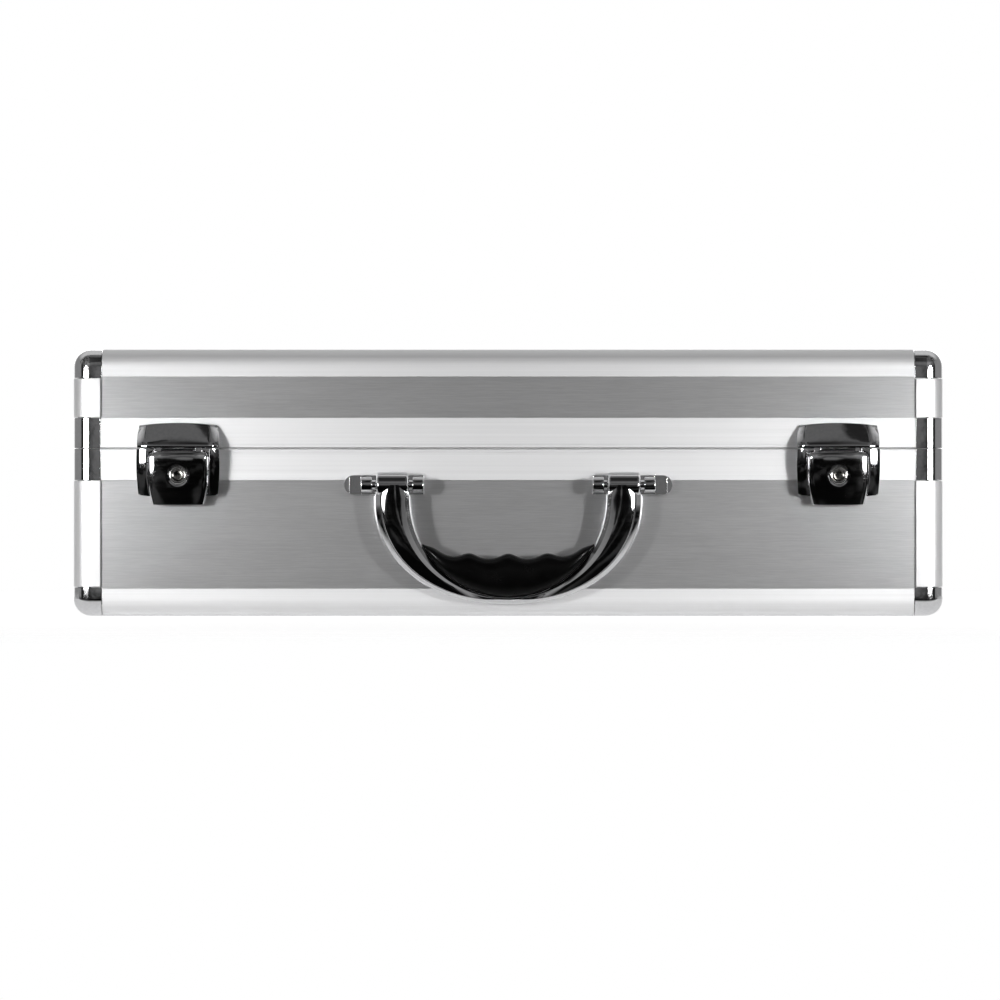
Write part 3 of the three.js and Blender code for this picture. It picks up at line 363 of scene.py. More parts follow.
def turned(bm, loop, centre, axis, turn, steps):
    """Spins an edge loop about an axis and returns the last loop."""
    return bmesh.ops.spin(
        bm, geom=loop, cent=centre, axis=axis, angle=turn, steps=steps, use_duplicate=False)["geom_last"]


def thickened(bm, move):
    """Makes the flat faces of a bmesh into a solid by drawing them out."""
    made = bmesh.ops.extrude_face_region(bm, geom=bm.faces[:])["geom"]
    bmesh.ops.translate(bm, vec=move, verts=verts_of(made))
    bmesh.ops.recalc_face_normals(bm, faces=bm.faces)
    return bm


def placed(bm, origin, x_axis, y_axis, z_axis):
    """Moves a shape so that its own axes lie along the given ones."""
    matrix = Matrix((x_axis, y_axis, z_axis)).transposed().to_4x4()
    matrix.translation = origin
    bmesh.ops.transform(bm, matrix=matrix, verts=bm.verts)
    bmesh.ops.recalc_face_normals(bm, faces=bm.faces)
    return bm


def softened(bm, width, segments=2, least_degrees=35.0):
    """Rounds every edge that turns more than the least angle."""
    bmesh.ops.recalc_face_normals(bm, faces=bm.faces)
    least = math.radians(least_degrees)
    sharp = [edge for edge in bm.edges if len(edge.link_faces) == 2 and edge.calc_face_angle() > least]
    bmesh.ops.bevel(
        bm, geom=sharp, offset=width, offset_type="OFFSET", segments=segments, profile=0.5,
        affect="EDGES", material=-1, clamp_overlap=True)
    return bm


def joined(*shapes):
    """Puts several shapes into one bmesh."""
    whole = bmesh.new()
    for shape in shapes:
        holder = bpy.data.meshes.new("holder")
        shape.to_mesh(holder)
        shape.free()
        whole.from_mesh(holder)
        bpy.data.meshes.remove(holder)
    return whole


def block(low, high, soft=0.0, segments=2):
    """A box between two corners, with softened edges."""
    bm = bmesh.new()
    bmesh.ops.create_cube(bm, size=1.0)
    low, high = Vector(low), Vector(high)
    bmesh.ops.scale(bm, vec=high - low, verts=bm.verts)
    bmesh.ops.translate(bm, vec=(low + high) / 2, verts=bm.verts)
    return softened(bm, soft, segments) if soft else bm


def extrusion(section, origin, across, up, move):
    """A section of (across, up) points, drawn out by a vector."""
    bm = bmesh.new()
    bm.faces.new([bm.verts.new(origin + across * a + up * b) for a, b in section])
    return thickened(bm, move)


def lathe(profile, origin, axis, steps):
    """A turned shape. The profile is points of (along the axis, radius)."""
    bm = bmesh.new()
    axis = Vector(axis)
    side = axis.orthogonal().normalized()
    verts = [bm.verts.new(Vector(origin) + axis * along + side * radius) for along, radius in profile]
    edges = [bm.edges.new(pair) for pair in zip(verts, verts[1:])]
    bmesh.ops.spin(
        bm, geom=verts + edges, cent=origin, axis=axis, angle=FULL_TURN, steps=steps,
        use_merge=True, use_duplicate=False)
    bmesh.ops.remove_doubles(bm, verts=bm.verts, dist=WELD)
    bmesh.ops.recalc_face_normals(bm, faces=bm.faces)
    return bm


def rounded_wall(start, end, radius, edge):
    """The outer wall of a round bar with rounded rims, as points of (along the axis, radius)."""
    rim = [(0, radius - edge), (edge * 0.3, radius - edge * 0.3), (edge, radius)]
    return [(start + along, out) for along, out in rim] + [(end - along, out) for along, out in reversed(rim)]


def rod(start, end, radius, origin, axis, edge, steps):
    """A round bar with rounded rims."""
    return lathe([(start, 0), *rounded_wall(start, end, radius, edge), (end, 0)], origin, axis, steps)


def tube(start, end, radius, bore, origin, axis, edge, steps):
    """A round sleeve with rounded rims."""
    wall = rounded_wall(start, end, radius, edge)
    return lathe([(start, bore), *wall, (end, bore), (start, bore)], origin, axis, steps)


def dome(height, radius):
    """A quarter of a flattened round, as points of (along the axis, radius) from its crest."""
    turns = [math.radians(15 * step) for step in range(7)]
    return [(height * math.cos(turn), radius * math.sin(turn)) for turn in turns]


def shaped_grid(columns, rows, place):
    """A grid whose points are put in place by a function of their share across and up, -1 to 1."""
    bm = bmesh.new()
    bmesh.ops.create_grid(bm, x_segments=columns, y_segments=rows, size=1.0)
    for vert in bm.verts:
        vert.co = place(vert.co.x, vert.co.y)
    return bm


def backed(bm, back):
    """Draws the open rim of a surface back to its foot and closes it there."""
    rim = [edge for edge in bm.edges if edge.is_boundary]
    made = bmesh.ops.extrude_edge_only(bm, edges=rim)["geom"]
    for vert in verts_of(made):
        vert.co = back(vert.co.copy())
    foot = [edge for edge in edges_of(made) if edge.is_boundary]
    bmesh.ops.edgeloop_fill(bm, edges=foot)
    bmesh.ops.recalc_face_normals(bm, faces=bm.faces)
    return bm


def faced(bm, outward):
    """Turns an open surface so that its outermost face looks outward."""
    bmesh.ops.recalc_face_normals(bm, faces=bm.faces)
    first = max(bm.faces, key=lambda face: face.calc_center_median().dot(outward))
    if first.normal.dot(outward) < 0:
        bmesh.ops.reverse_faces(bm, faces=bm.faces)
    return bm


def finished(bm, name, body, nodes, finish, smooth_degrees=40.0, closed=True):
    """Makes the piece: it rides on a body, stands for its nodes and has its finish."""
    bmesh.ops.remove_doubles(bm, verts=bm.verts, dist=WELD)
    if closed:
        bmesh.ops.recalc_face_normals(bm, faces=bm.faces)
    mesh = bpy.data.meshes.new(name)
    bm.to_mesh(mesh)
    bm.free()
    mesh.shade_smooth()
    mesh.set_sharp_from_angle(angle=math.radians(smooth_degrees))
    mesh.materials.append(bpy.data.materials[finish])
    piece = bpy.data.objects.new(name, mesh)
    bpy.context.scene.collection.objects.link(piece)
    flats = piece.modifiers.new("flat_faces", "WEIGHTED_NORMAL")
    flats.keep_sharp = True
    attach(piece, body)
    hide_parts(*nodes)
    return piece


# Shader making

class Value:
    """A number on a shader socket, whose arithmetic adds Math nodes."""

    def __init__(self, finish, socket):
        self.finish = finish
        self.socket = socket

    def maths(self, operation, first, second):
        return self.finish.node("ShaderNodeMath", {"operation": operation}, {0: first, 1: second})

    def __add__(self, other):
        return self.maths("ADD", self, other)

    def __radd__(self, other):
        return self.maths("ADD", other, self)

    def __sub__(self, other):
        return self.maths("SUBTRACT", self, other)

    def __rsub__(self, other):
        return self.maths("SUBTRACT", other, self)

    def __mul__(self, other):
        return self.maths("MULTIPLY", self, other)

    def __rmul__(self, other):
        return self.maths("MULTIPLY", other, self)


class Finish:
    """A procedural finish, built node by node."""

    def __init__(self, tree):
        self.tree = tree
        self.tree.nodes.clear()

    def node(self, kind, settings=None, inputs=None, output=0):
        """Adds a node: its settings are set first, then the values or links of its sockets."""
        made = self.tree.nodes.new(kind)
        for name, value in (settings or {}).items():
            setattr(made, name, value)
        for key, value in (inputs or {}).items():
            if isinstance(value, Value):
                self.tree.links.new(value.socket, made.inputs[key])
            else:
                made.inputs[key].default_value = value
        return Value(self, made.outputs[output]) if made.outputs else None

    def drawn(self, scale):
        """Object coordinates, with a scale per metre for each axis."""
        place = self.node("ShaderNodeTexCoord", output="Object")
        return self.node("ShaderNodeMapping", {}, {"Vector": place, "Scale": scale})

    def noise(self, scale, detail=3.0, roughness=0.5):
        """Noise on object coordinates, alike along all axes or with a scale for each."""
        scale = scale if isinstance(scale, tuple) else (scale,) * 3
        return self.node("ShaderNodeTexNoise", {}, {
            "Vector": self.drawn(scale), "Scale": 1.0, "Detail": detail, "Roughness": roughness})

    def cells(self, scale):
        """Small cells on object coordinates, dark in their middles."""
        return self.node("ShaderNodeTexVoronoi", {}, {"Vector": self.drawn((scale,) * 3), "Scale": 1.0})

    def parted(self, vector, index):
        """One component of a vector."""
        return self.node("ShaderNodeSeparateXYZ", {}, {0: vector}, output=index)

    def ray(self, kind):
        """1 for rays of one kind, and 0 for the others."""
        return self.node("ShaderNodeLightPath", output=f"Is {kind} Ray")

    def blend(self, share, first, second):
        """A shader between two shaders."""
        return self.node("ShaderNodeMixShader", {}, {0: share, 1: first, 2: second})

    def ranged(self, value, start, end, first=0.0, last=1.0):
        """Maps a value from one range to another, and holds it there."""
        return self.node("ShaderNodeMapRange", {"clamp": True}, {
            "Value": value, "From Min": start, "From Max": end, "To Min": first, "To Max": last})

    def mixed(self, share, first, second):
        """A colour between two colours."""
        return self.node("ShaderNodeMix", {"data_type": "RGBA"}, {0: share, 6: first, 7: second}, output=2)

    def bump(self, height, distance, strength):
        """A fine relief from a height between 0 and 1."""
        return self.node("ShaderNodeBump", {}, {"Height": height, "Distance": distance, "Strength": strength})

    def surface(self, **sockets):
        """The principled shader and the output, with the shader's sockets by name."""
        named = {name.replace("_", " ").title(): value for name, value in sockets.items()}
        named = {name.replace("Ior", "IOR"): value for name, value in named.items()}
        shader = self.node("ShaderNodeBsdfPrincipled", {}, named)
        self.node("ShaderNodeOutputMaterial", {}, {"Surface": shader})


def new_finish(name):
    """A new material with an empty node tree."""
    material = bpy.data.materials.new(name)
    material.use_nodes = True
    return Finish(material.node_tree)


def shade(tone, share):
    """A plain colour made darker or lighter by a share."""
    return tuple(min(1.0, channel * share) for channel in tone) + (1.0,)


def along(axis, length_scale, across_scale):
    """Scales for a grain that runs along one axis."""
    return tuple(length_scale if own == axis else across_scale for own in "xyz")


def make_brushed(name, tone, axis):
    """Brushed sheet: long fine scratches along one axis, in two sizes, and a faint cloudiness."""
    finish = new_finish(name)
    coarse = finish.noise(along(axis, 32.0, 1700.0), 2.0, 0.6)
    fine = finish.noise(along(axis, 110.0, 4200.0), 2.0, 0.6)
    cloud = finish.noise(9.0, 3.0, 0.55)
    grain = finish.ranged(coarse * 0.4 + fine * 0.6, 0.41, 0.6, 0.41, 0.6)
    tint = finish.ranged(grain + cloud * 0.15, 0.3, 0.86)
    finish.surface(
        base_color=finish.mixed(tint, shade(tone, 0.84), shade(tone, 1.14)),
        metallic=0.85,
        roughness=finish.ranged(grain, 0.3, 0.75, 0.27, 0.35),
        normal=finish.bump(grain, 0.035 * MM, 0.55))


def make_anodised(name, tone, axis):
    """Satin anodised extrusion: faint die lines along the profile and a fine etched grain."""
    rough = 0.42 if axis == "z" else 0.58
    finish = new_finish(name)
    lines = finish.noise(along(axis, 3.5, 900.0), 3.0, 0.6)
    etch = finish.noise(2600.0, 2.0, 0.5)
    haze = finish.noise(14.0, 2.0, 0.5)
    tint = finish.ranged(lines * 0.7 + haze * 0.3, 0.3, 0.72)
    finish.surface(
        base_color=finish.mixed(tint, shade(tone, 0.95), shade(tone, 1.04)),
        metallic=0.85,
        roughness=finish.ranged(etch + lines * 0.6, 0.45, 1.1, rough, rough + 0.08),
        normal=finish.bump(lines * 0.8 + etch * 0.2, 0.02 * MM, 0.5))


def make_chrome(name, tone, wave, rough):
    """Polished plate: nearly a mirror, with a slow wave in its surface and faint wiping marks."""
    finish = new_finish(name)
    swell = finish.noise(wave, 2.0, 0.5)
    wiped = finish.noise((60.0, 60.0, 900.0), 4.0, 0.6)
    dust = finish.noise(700.0, 2.0, 0.5)
    finish.surface(
        base_color=finish.mixed(finish.ranged(dust, 0.35, 0.65), shade(tone, 0.97), shade(tone, 1.02)),
        metallic=1.0,
        roughness=finish.ranged(wiped, 0.35, 0.75, rough, rough + 0.05),
        normal=finish.bump(swell, 0.12 * MM, 0.5))


def make_grip(name, tone):
    """Black soft plastic: satin, with a fine moulded grain and paler rubbed patches."""
    finish = new_finish(name)
    grain = finish.cells(2400.0)
    rubbed = finish.noise(90.0, 3.0, 0.55)
    patch = finish.ranged(rubbed, 0.42, 0.68)
    finish.surface(
        base_color=finish.mixed(patch, shade(tone, 0.85), shade(tone, 1.5)),
        roughness=finish.ranged(rubbed + grain * 0.1, 0.35, 0.75, 0.2, 0.28),
        specular_ior_level=0.12,
        normal=finish.bump(grain, 0.03 * MM, 0.35))


def make_foam(name, tone):
    """Open cell foam: the pores are painted darker than the cell walls as painted shade, with a random fluffy
    tone over it.
    """
    finish = new_finish(name)
    pores = finish.cells(1100.0)
    fluff = finish.noise(420.0, 4.0, 0.7)
    # The same depth raises the bump and sets the colour: low in the pores the colour is painted darker as
    # painted shade.
    depth = pores * 0.7 + fluff * 0.5
    finish.surface(
        base_color=finish.mixed(finish.ranged(depth, 0.3, 0.85), shade(tone, 0.6), shade(tone, 1.7)),
        roughness=0.97,
        specular_ior_level=0.1,
        normal=finish.bump(depth, 0.5 * MM, 0.7))


def make_lining(name, tone):
    """Flocked lining: short fibres that lie unevenly."""
    finish = new_finish(name)
    fibres = finish.noise(2600.0, 3.0, 0.7)
    stroked = finish.noise(28.0, 3.0, 0.6)
    finish.surface(
        base_color=finish.mixed(
            finish.ranged(fibres * 0.5 + stroked * 0.5, 0.3, 0.7), shade(tone, 0.7), shade(tone, 1.5)),
        roughness=0.95,
        specular_ior_level=0.15,
        sheen_weight=0.25,
        normal=finish.bump(fibres, 0.2 * MM, 0.6))


class TOOLCASE_OT_finishes(bpy.types.Operator):
    """Makes the metal, plastic and foam finishes"""
    bl_idname = "toolcase.finishes"
    bl_label = "Finishes"

    def execute(self, context):
        tones = context.scene.tool_case.finishes
        for axis in "xyz":
            make_brushed(f"brushed_along_{axis}", tones.brushed, axis)
            make_anodised(f"anodised_along_{axis}", tones.anodised, axis)
        make_chrome("polished_corner", tones.chrome, 130.0, 0.05)
        make_chrome("polished_fitting", tones.chrome, 85.0, 0.045)
        make_chrome("nickel_plate", tones.nickel, 150.0, 0.2)
        make_chrome("lock_plate", tones.nickel, 220.0, 0.07)
        make_grip("soft_black", tones.grip)
        make_foam("open_foam", tones.foam)
        make_lining("flocked", tones.lining)
        return {"FINISHED"}


# The case's frame

def angle_extrusion(case, wall, run, steps=14):
    """An angle with a round outer edge: its legs run along X and Y, its length along Z."""
    radius = case.edge_radius
    bm = bmesh.new()
    tip = [bm.verts.new((0, PROFILE_LEG, 0)), bm.verts.new((wall, PROFILE_LEG, 0))]
    loop = tip + [bm.edges.new(tip)]
    loop = drawn_out(bm, loop, (0, radius - PROFILE_LEG, 0))
    loop = turned(bm, loop, (radius, radius, 0), Z, RIGHT_ANGLE, steps)
    drawn_out(bm, loop, (PROFILE_LEG - radius, 0, 0))
    return softened(thickened(bm, (0, 0, run)), case.soft_edge, 2, 50.0)


def rounded_corner(case, steps=14):
    """A ball corner whose three faces lie on the planes through the origin."""
    bm = bmesh.new()
    bmesh.ops.create_cube(bm, size=BALL_REACH)
    bmesh.ops.translate(bm, vec=Vector((1, 1, 1)) * BALL_REACH / 2, verts=bm.verts)
    inner = [face for face in bm.faces if max(face.calc_center_median()) > BALL_REACH - WELD]
    bmesh.ops.delete(bm, geom=inner, context="FACES")
    folds = [edge for edge in bm.edges if len(edge.link_faces) == 2]
    bmesh.ops.bevel(
        bm, geom=folds, offset=case.edge_radius, offset_type="OFFSET", segments=steps, profile=0.5,
        affect="EDGES", material=-1, clamp_overlap=False)
    bmesh.ops.remove_doubles(bm, verts=bm.verts, dist=WELD)
    faced(bm, Vector((-1, -1, -1)))
    bmesh.ops.solidify(bm, geom=bm.faces[:], thickness=case.corner_wall)
    return softened(bm, case.soft_edge, 2, 60.0)


class TOOLCASE_OT_edge_profiles(bpy.types.Operator):
    """Extruded profiles along the bottom and the top of the case"""
    bl_idname = "toolcase.edge_profiles"
    bl_label = "Edge profiles"

    def execute(self, context):
        case = context.scene.tool_case.case
        start = BALL_REACH + HAIRLINE
        runs = {"x": RIGHT - LEFT - 2 * start, "y": BACK - FRONT - 2 * start}
        for half, parts in HALVES.items():
            for side, outward in SIDES.items():
                axis = "x" if outward.x == 0 else "y"
                bm = angle_extrusion(case, case.wall, runs[axis])
                if axis == "x":
                    origin = Vector((LEFT + start, FRONT if side == "front" else BACK, parts["outer"]))
                else:
                    origin = Vector((LEFT if side == "left" else RIGHT, FRONT + start, parts["outer"]))
                placed(bm, origin, -outward, parts["inward"], X if axis == "x" else Y)
                finished(bm, f"{parts['edge']}_profile_{side}", half, [f"{half}_{parts['edge']}_edge_{side}"],
                         f"anodised_along_{axis}")
        return {"FINISHED"}


class TOOLCASE_OT_upright_corners(bpy.types.Operator):
    """Corner posts, ball corners and rim corners"""
    bl_idname = "toolcase.upright_corners"
    bl_label = "Posts and corners"

    def execute(self, context):
        case = context.scene.tool_case.case
        for half, parts in HALVES.items():
            for corner, (right, back) in CORNERS.items():
                at = Vector((RIGHT if right > 0 else LEFT, BACK if back > 0 else FRONT, 0))
                inward = (X * -right, Y * -back)
                post_low, post_high = lowest(f"{half}_post_{corner}").z, highest(f"{half}_post_{corner}").z
                post = angle_extrusion(case, case.wall, post_high - post_low)
                placed(post, at + Z * post_low, *inward, Z)
                finished(post, f"{half}_upright_{corner}", half, [f"{half}_post_{corner}"],
                         "anodised_along_z")
                rim_low, rim_high = parts["rim"]
                cap = angle_extrusion(case, case.corner_wall, rim_high - rim_low)
                placed(cap, at + Z * rim_low, *inward, Z)
                finished(cap, f"{half}_rim_cap_{corner}", half, [f"{half}_rim_corner_{corner}"],
                         "polished_corner")
                ball = placed(rounded_corner(case), at + Z * parts["outer"], *inward, parts["inward"])
                finished(ball, f"{half}_ball_{corner}", half, [f"{half}_ball_corner_{corner}"],
                         "polished_corner")
        return {"FINISHED"}


def ring_sweep(section, corner_inset, steps=8):
    """Sweeps a closed section of (inset, height) points round the whole case."""
    bm = bmesh.new()
    verts = [bm.verts.new((0, FRONT + inset, height)) for inset, height in section]
    loop = verts + [bm.edges.new(pair) for pair in zip(verts, verts[1:] + verts[:1])]
    right, back = RIGHT - corner_inset, BACK - corner_inset
    left, front = LEFT + corner_inset, FRONT + corner_inset
    stops = [(right, front, X * right), (right, back, Y * (back - front)),
             (left, back, X * (left - right)), (left, front, Y * (front - back))]
    for x, y, run in stops:
        loop = drawn_out(bm, loop, run)
        loop = turned(bm, loop, (x, y, 0), Z, RIGHT_ANGLE, steps)
    drawn_out(bm, loop, X * -left)
    bmesh.ops.remove_doubles(bm, verts=bm.verts, dist=WELD)
    bmesh.ops.recalc_face_normals(bm, faces=bm.faces)
    return bm


def rim_legs(case, seam, far):
    """The rim frame's outer legs, between the chrome corners, each with a fine groove."""
    toward = 1 if far > seam else -1
    groove = case.groove_place
    notch = case.groove
    height = abs(far - seam)
    chamfer = case.seam_chamfer
    section = [(0, chamfer), (0, groove - notch), (notch, groove), (0, groove + notch), (0, height),
               (case.wall, height), (case.wall, 0), (case.seam_depth, 0)]
    start = PROFILE_LEG + HAIRLINE
    legs = []
    for outward in SIDES.values():
        sideways = X if outward.x == 0 else Y
        across = (RIGHT - LEFT) / 2 if outward.x else (BACK - FRONT) / 2
        reach = ((BACK - FRONT) / 2 if outward.x else (RIGHT - LEFT) / 2) - start
        origin = Vector((0, (FRONT + BACK) / 2, seam)) + outward * across - sideways * reach
        leg = extrusion(section, origin, -outward, Z * toward, sideways * (2 * reach))
        legs.append(softened(leg, FINE_EDGE / 2, 2, 60.0))
    return legs


class TOOLCASE_OT_rim_frames(bpy.types.Operator):
    """Tongue and groove frames at the parting line"""
    bl_idname = "toolcase.rim_frames"
    bl_label = "Rim frames"

    def execute(self, context):
        case = context.scene.tool_case.case
        wall = case.wall
        leg, inner = case.inner_leg, case.inner_leg + wall
        web = BASE_TOP - wall
        tongue = (case.tongue_inset, case.tongue_inset + case.tongue)
        base_ring = [(wall, web), (leg, web), (leg, BASE_RIM_FOOT), (inner, BASE_RIM_FOOT), (inner, BASE_TOP),
                     (tongue[1], BASE_TOP), (tongue[1], TONGUE_TOP), (tongue[0], TONGUE_TOP),
                     (tongue[0], BASE_TOP), (wall, BASE_TOP)]
        groove = TONGUE_TOP + case.headroom
        lid_ring = [(wall, groove), (leg, groove), (leg, LID_FOOT), (inner, LID_FOOT), (inner, LID_RIM_TOP),
                    (leg, LID_RIM_TOP), (leg, groove + wall), (wall, groove + wall)]
        rings = {"base": (base_ring, BASE_TOP, BASE_RIM_FOOT), "lid": (lid_ring, LID_FOOT, LID_RIM_TOP)}
        for half, (section, seam, far) in rings.items():
            ring = softened(ring_sweep(section, inner + BROAD_EDGE), FINE_EDGE, 2, 60.0)
            finished(joined(ring, *rim_legs(case, seam, far)), f"{half}_rim", half,
                     [f"{half}_rim_frame"], "anodised_along_x")
        return {"FINISHED"}


class TOOLCASE_OT_boards(bpy.types.Operator):
    """Brushed aluminium faced boards and the flocked lining inside them"""
    bl_idname = "toolcase.boards"
    bl_label = "Boards and lining"

    def execute(self, context):
        case = context.scene.tool_case.case
        near, far = case.board_inset, case.board_inset + case.board
        cover = case.board_cover
        soft = case.soft_edge
        for half, parts in HALVES.items():
            shell = [f"{half}_shell"]
            low, high = (FOOT + cover, BASE_SHELL_TOP) if half == "base" else (LID_SHELL_FOOT, TOP - cover)
            spans = {
                "front": ((LEFT + cover, FRONT + near, low), (RIGHT - cover, FRONT + far, high)),
                "back": ((LEFT + cover, BACK - far, low), (RIGHT - cover, BACK - near, high)),
                "left": ((LEFT + near, FRONT + cover, low), (LEFT + far, BACK - cover, high)),
                "right": ((RIGHT - far, FRONT + cover, low), (RIGHT - near, BACK - cover, high)),
            }
            for side, (start, end) in spans.items():
                grain = "x" if side in ("front", "back") else "y"
                finished(block(start, end, soft), f"{half}_board_{side}", half, shell,
                         f"brushed_along_{grain}")
            faces = (FOOT + near, FOOT + far) if half == "base" else (TOP - far, TOP - near)
            flat = block(
                (LEFT + cover, FRONT + cover, faces[0]), (RIGHT - cover, BACK - cover, faces[1]), soft)
            finished(flat, f"{half}_board_flat", half, shell, "brushed_along_x")
            self.line(case, half, shell, parts)
        return {"FINISHED"}

    def line(self, case, half, shell, parts):
        """A thin tray that lines the boards, open towards the parting line."""
        outer = case.board_inset + case.board
        if half == "base":
            low, high = FOOT + outer, BASE_SHELL_TOP
        else:
            low, high = LID_SHELL_FOOT, TOP - outer
        bm = block((LEFT + outer, FRONT + outer, low), (RIGHT - outer, BACK - outer, high))
        inward = parts["inward"]
        opening = [face for face in bm.faces if face.normal.dot(inward) > 0.9]
        bmesh.ops.delete(bm, geom=opening, context="FACES_ONLY")
        bm.normal_update()
        bmesh.ops.solidify(bm, geom=bm.faces[:], thickness=case.lining)
        finished(softened(bm, FINE_EDGE, 2, 60.0), f"{half}_lining", half, shell, "flocked")


# Foam

def scored_foam(foam, low, high):
    """A slab whose top is scored into squares."""
    wide, deep = high.x - low.x, high.y - low.y
    columns, rows = round(wide / foam.square), round(deep / foam.square)
    middle = (low + high) / 2
    crest = high.z - foam.score_depth

    def place(across, up):
        return Vector((middle.x + across * wide / 2, middle.y + up * deep / 2, crest))

    bm = faced(shaped_grid(columns, rows, place), Z)
    bmesh.ops.inset_individual(
        bm, faces=bm.faces[:], thickness=foam.score, depth=foam.score_depth, use_even_offset=True)
    return backed(bm, lambda co: Vector((co.x, co.y, low.z)))


CRATE_POWER = 0.8


def crate_foam(foam, low, high):
    """A slab whose underside is a sheet of round bumps and hollows."""
    wide, deep = high.x - low.x, high.y - low.y
    columns, rows = round(wide / foam.crate_step), round(deep / foam.crate_step)
    middle = (low + high) / 2
    turn = FULL_TURN / foam.crate_pitch

    def place(across, up):
        x, y = across * wide / 2, up * deep / 2
        swell = math.cos(turn * x) * math.cos(turn * y)
        lift = 0.5 * foam.crate_height * (1 + math.copysign(abs(swell) ** CRATE_POWER, swell))
        return Vector((middle.x + x, middle.y + y, low.z + lift + HAIRLINE))

    bm = faced(shaped_grid(columns, rows, place), -Z)
    return backed(bm, lambda co: Vector((co.x, co.y, high.z)))


class TOOLCASE_OT_foam(bpy.types.Operator):
    """Scored foam in the base and egg crate foam in the lid"""
    bl_idname = "toolcase.foam"
    bl_label = "Foam lining"

    def execute(self, context):
        foam = context.scene.tool_case.foam
        base = scored_foam(foam, *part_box("base_foam"))
        finished(base, "base_scored_foam", "base", ["base_foam"], "open_foam")
        lid = crate_foam(foam, *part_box("lid_foam"))
        finished(lid, "lid_crate_foam", "lid", ["lid_foam"], "open_foam", 60.0)
        return {"FINISHED"}


# Latches: places are (across, out from the front face, up from the parting line)

def latch_point(middle, across, out, up):
    """A place on the latch whose middle is given."""
    return Vector((middle + across, FRONT - out, PARTING + up))


SIDE_POWER = 1.5
WAIST_POWER = 1.7
CHEEK_SHARE = 0.8


def dense_at_ends(share):
    """Crowds grid lines towards both ends of -1 to 1."""
    return share * (2 - abs(share))


def rolled_side(latch, out, share):
    """The depth of a cast plate, which rounds off towards its outer edge."""
    past = max(0.0, abs(share) - latch.side_start) / (1 - latch.side_start)
    return out - min(latch.side_fall, 0.5 * out) * past ** SIDE_POWER


def seated(bm):
    """Draws the rim of a plate's face straight back into the front of the case."""
    return backed(bm, lambda co: Vector((co.x, FRONT - SUNK, co.z)))


def lid_plate(latch, middle):
    """The lid plate: a low shoulder, then a face that leans back to its arched top."""
    bottom_half, top_half = latch.width / 2 - HAIRLINE, latch.top_width / 2

    def place(across, up):
        s = (up + 1) / 2
        height = HAIRLINE + s * (latch.rise - HAIRLINE)
        lean = (latch.depth - latch.top_depth) / (latch.rise - latch.shoulder)
        past = height - latch.shoulder
        out = latch.depth - lean * 0.5 * (past + math.hypot(past, latch.shoulder_round))
        share = dense_at_ends(across)
        out -= latch.plate_crown * share * share + latch.plate_tuck * max(0.0, 1 - height / latch.shoulder)
        rise = height / latch.rise
        half = bottom_half + (top_half - bottom_half) * rise + 4 * latch.belly * rise * (1 - rise)
        height -= latch.arch * share * share * rise
        return latch_point(middle, half * share, rolled_side(latch, out, share), height)

    return softened(seated(shaped_grid(48, 24, place)), latch.edge, 3, 38.0)


def lid_lugs(latch, middle):
    """Two lugs that reach down from the lid plate and carry the flap's pin."""
    axis = flap_axis("left")
    out, drop = FRONT - axis.y, PARTING - axis.z
    shapes = []
    for hand in HANDS.values():
        centre = hand * latch.lug_spacing / 2
        near, far = centre - latch.lug_width / 2, centre + latch.lug_width / 2
        eye = latch_point(middle, 0, out, -drop)
        shapes.append(tube(near, far, latch.lug, latch.pin, eye, X, FINE_EDGE, 28))
        stem_front = out - latch.roll + 2 * HAIRLINE
        stem_back = latch.back_wall + 2 * HAIRLINE
        for stem_out, top in ((out - latch.pin, latch.lug / 2 - drop), (stem_front, latch.edge + HAIRLINE)):
            shapes.append(block(
                latch_point(middle, near, stem_out, -drop - latch.lug / 2),
                latch_point(middle, far, stem_back, top), PLAIN_EDGE / 2))
    return shapes


def flap_half(latch, up):
    """Half the flap's width at a height: straight above the lock, then drawn in to the foot."""
    waist = -lock_drop()
    if up >= waist:
        return latch.flap_width / 2
    share = (waist - up) / (latch.flap_drop + waist)
    return latch.flap_width / 2 - (latch.flap_width - latch.flap_foot) / 2 * share ** WAIST_POWER


def flap_axis(hand):
    """The middle of a flap's pin."""
    return Vector(JOINTS[f"{hand}_flap_swing"]["pos_m"])


def lock_drop():
    """How far the key barrels lie under the parting line."""
    return PARTING - JOINTS["left_lock_turn"]["pos_m"][2]


def cheek_half(latch, up):
    """Half the base plate's width at a height."""
    share = min(1.0, -up / latch.drop)
    half = (latch.width - (latch.width - latch.foot_width) * share) / 2
    return half + 4 * latch.belly * CHEEK_SHARE * share * (1 - share)


def cheek_out(latch, up):
    """How far the base plate stands out at a height."""
    share = min(1.0, -up / latch.drop)
    return latch.depth - share * share * (latch.depth - latch.foot_depth)


def cheek(latch, middle, hand):
    """One side of the base plate, between the flap and the outer outline."""
    def place(across, up):
        s = (1 - up) / 2
        height = -HAIRLINE - s * (latch.drop - HAIRLINE)
        inner = flap_half(latch, height) + latch.flap_gap
        outer = cheek_half(latch, height)
        share = (1 + dense_at_ends(across)) / 2
        x = inner + (outer - inner) * share
        out = rolled_side(latch, cheek_out(latch, height), x / outer)
        height += latch.arch * (x / outer) ** 2 * s
        return latch_point(middle, hand * x, out, height)

    return softened(seated(shaped_grid(14, 28, place)), latch.edge * CHEEK_SHARE, 3, 38.0)


BACK_WALL_SHARE = 0.985
CAM_ROOM = 0.8 * MM


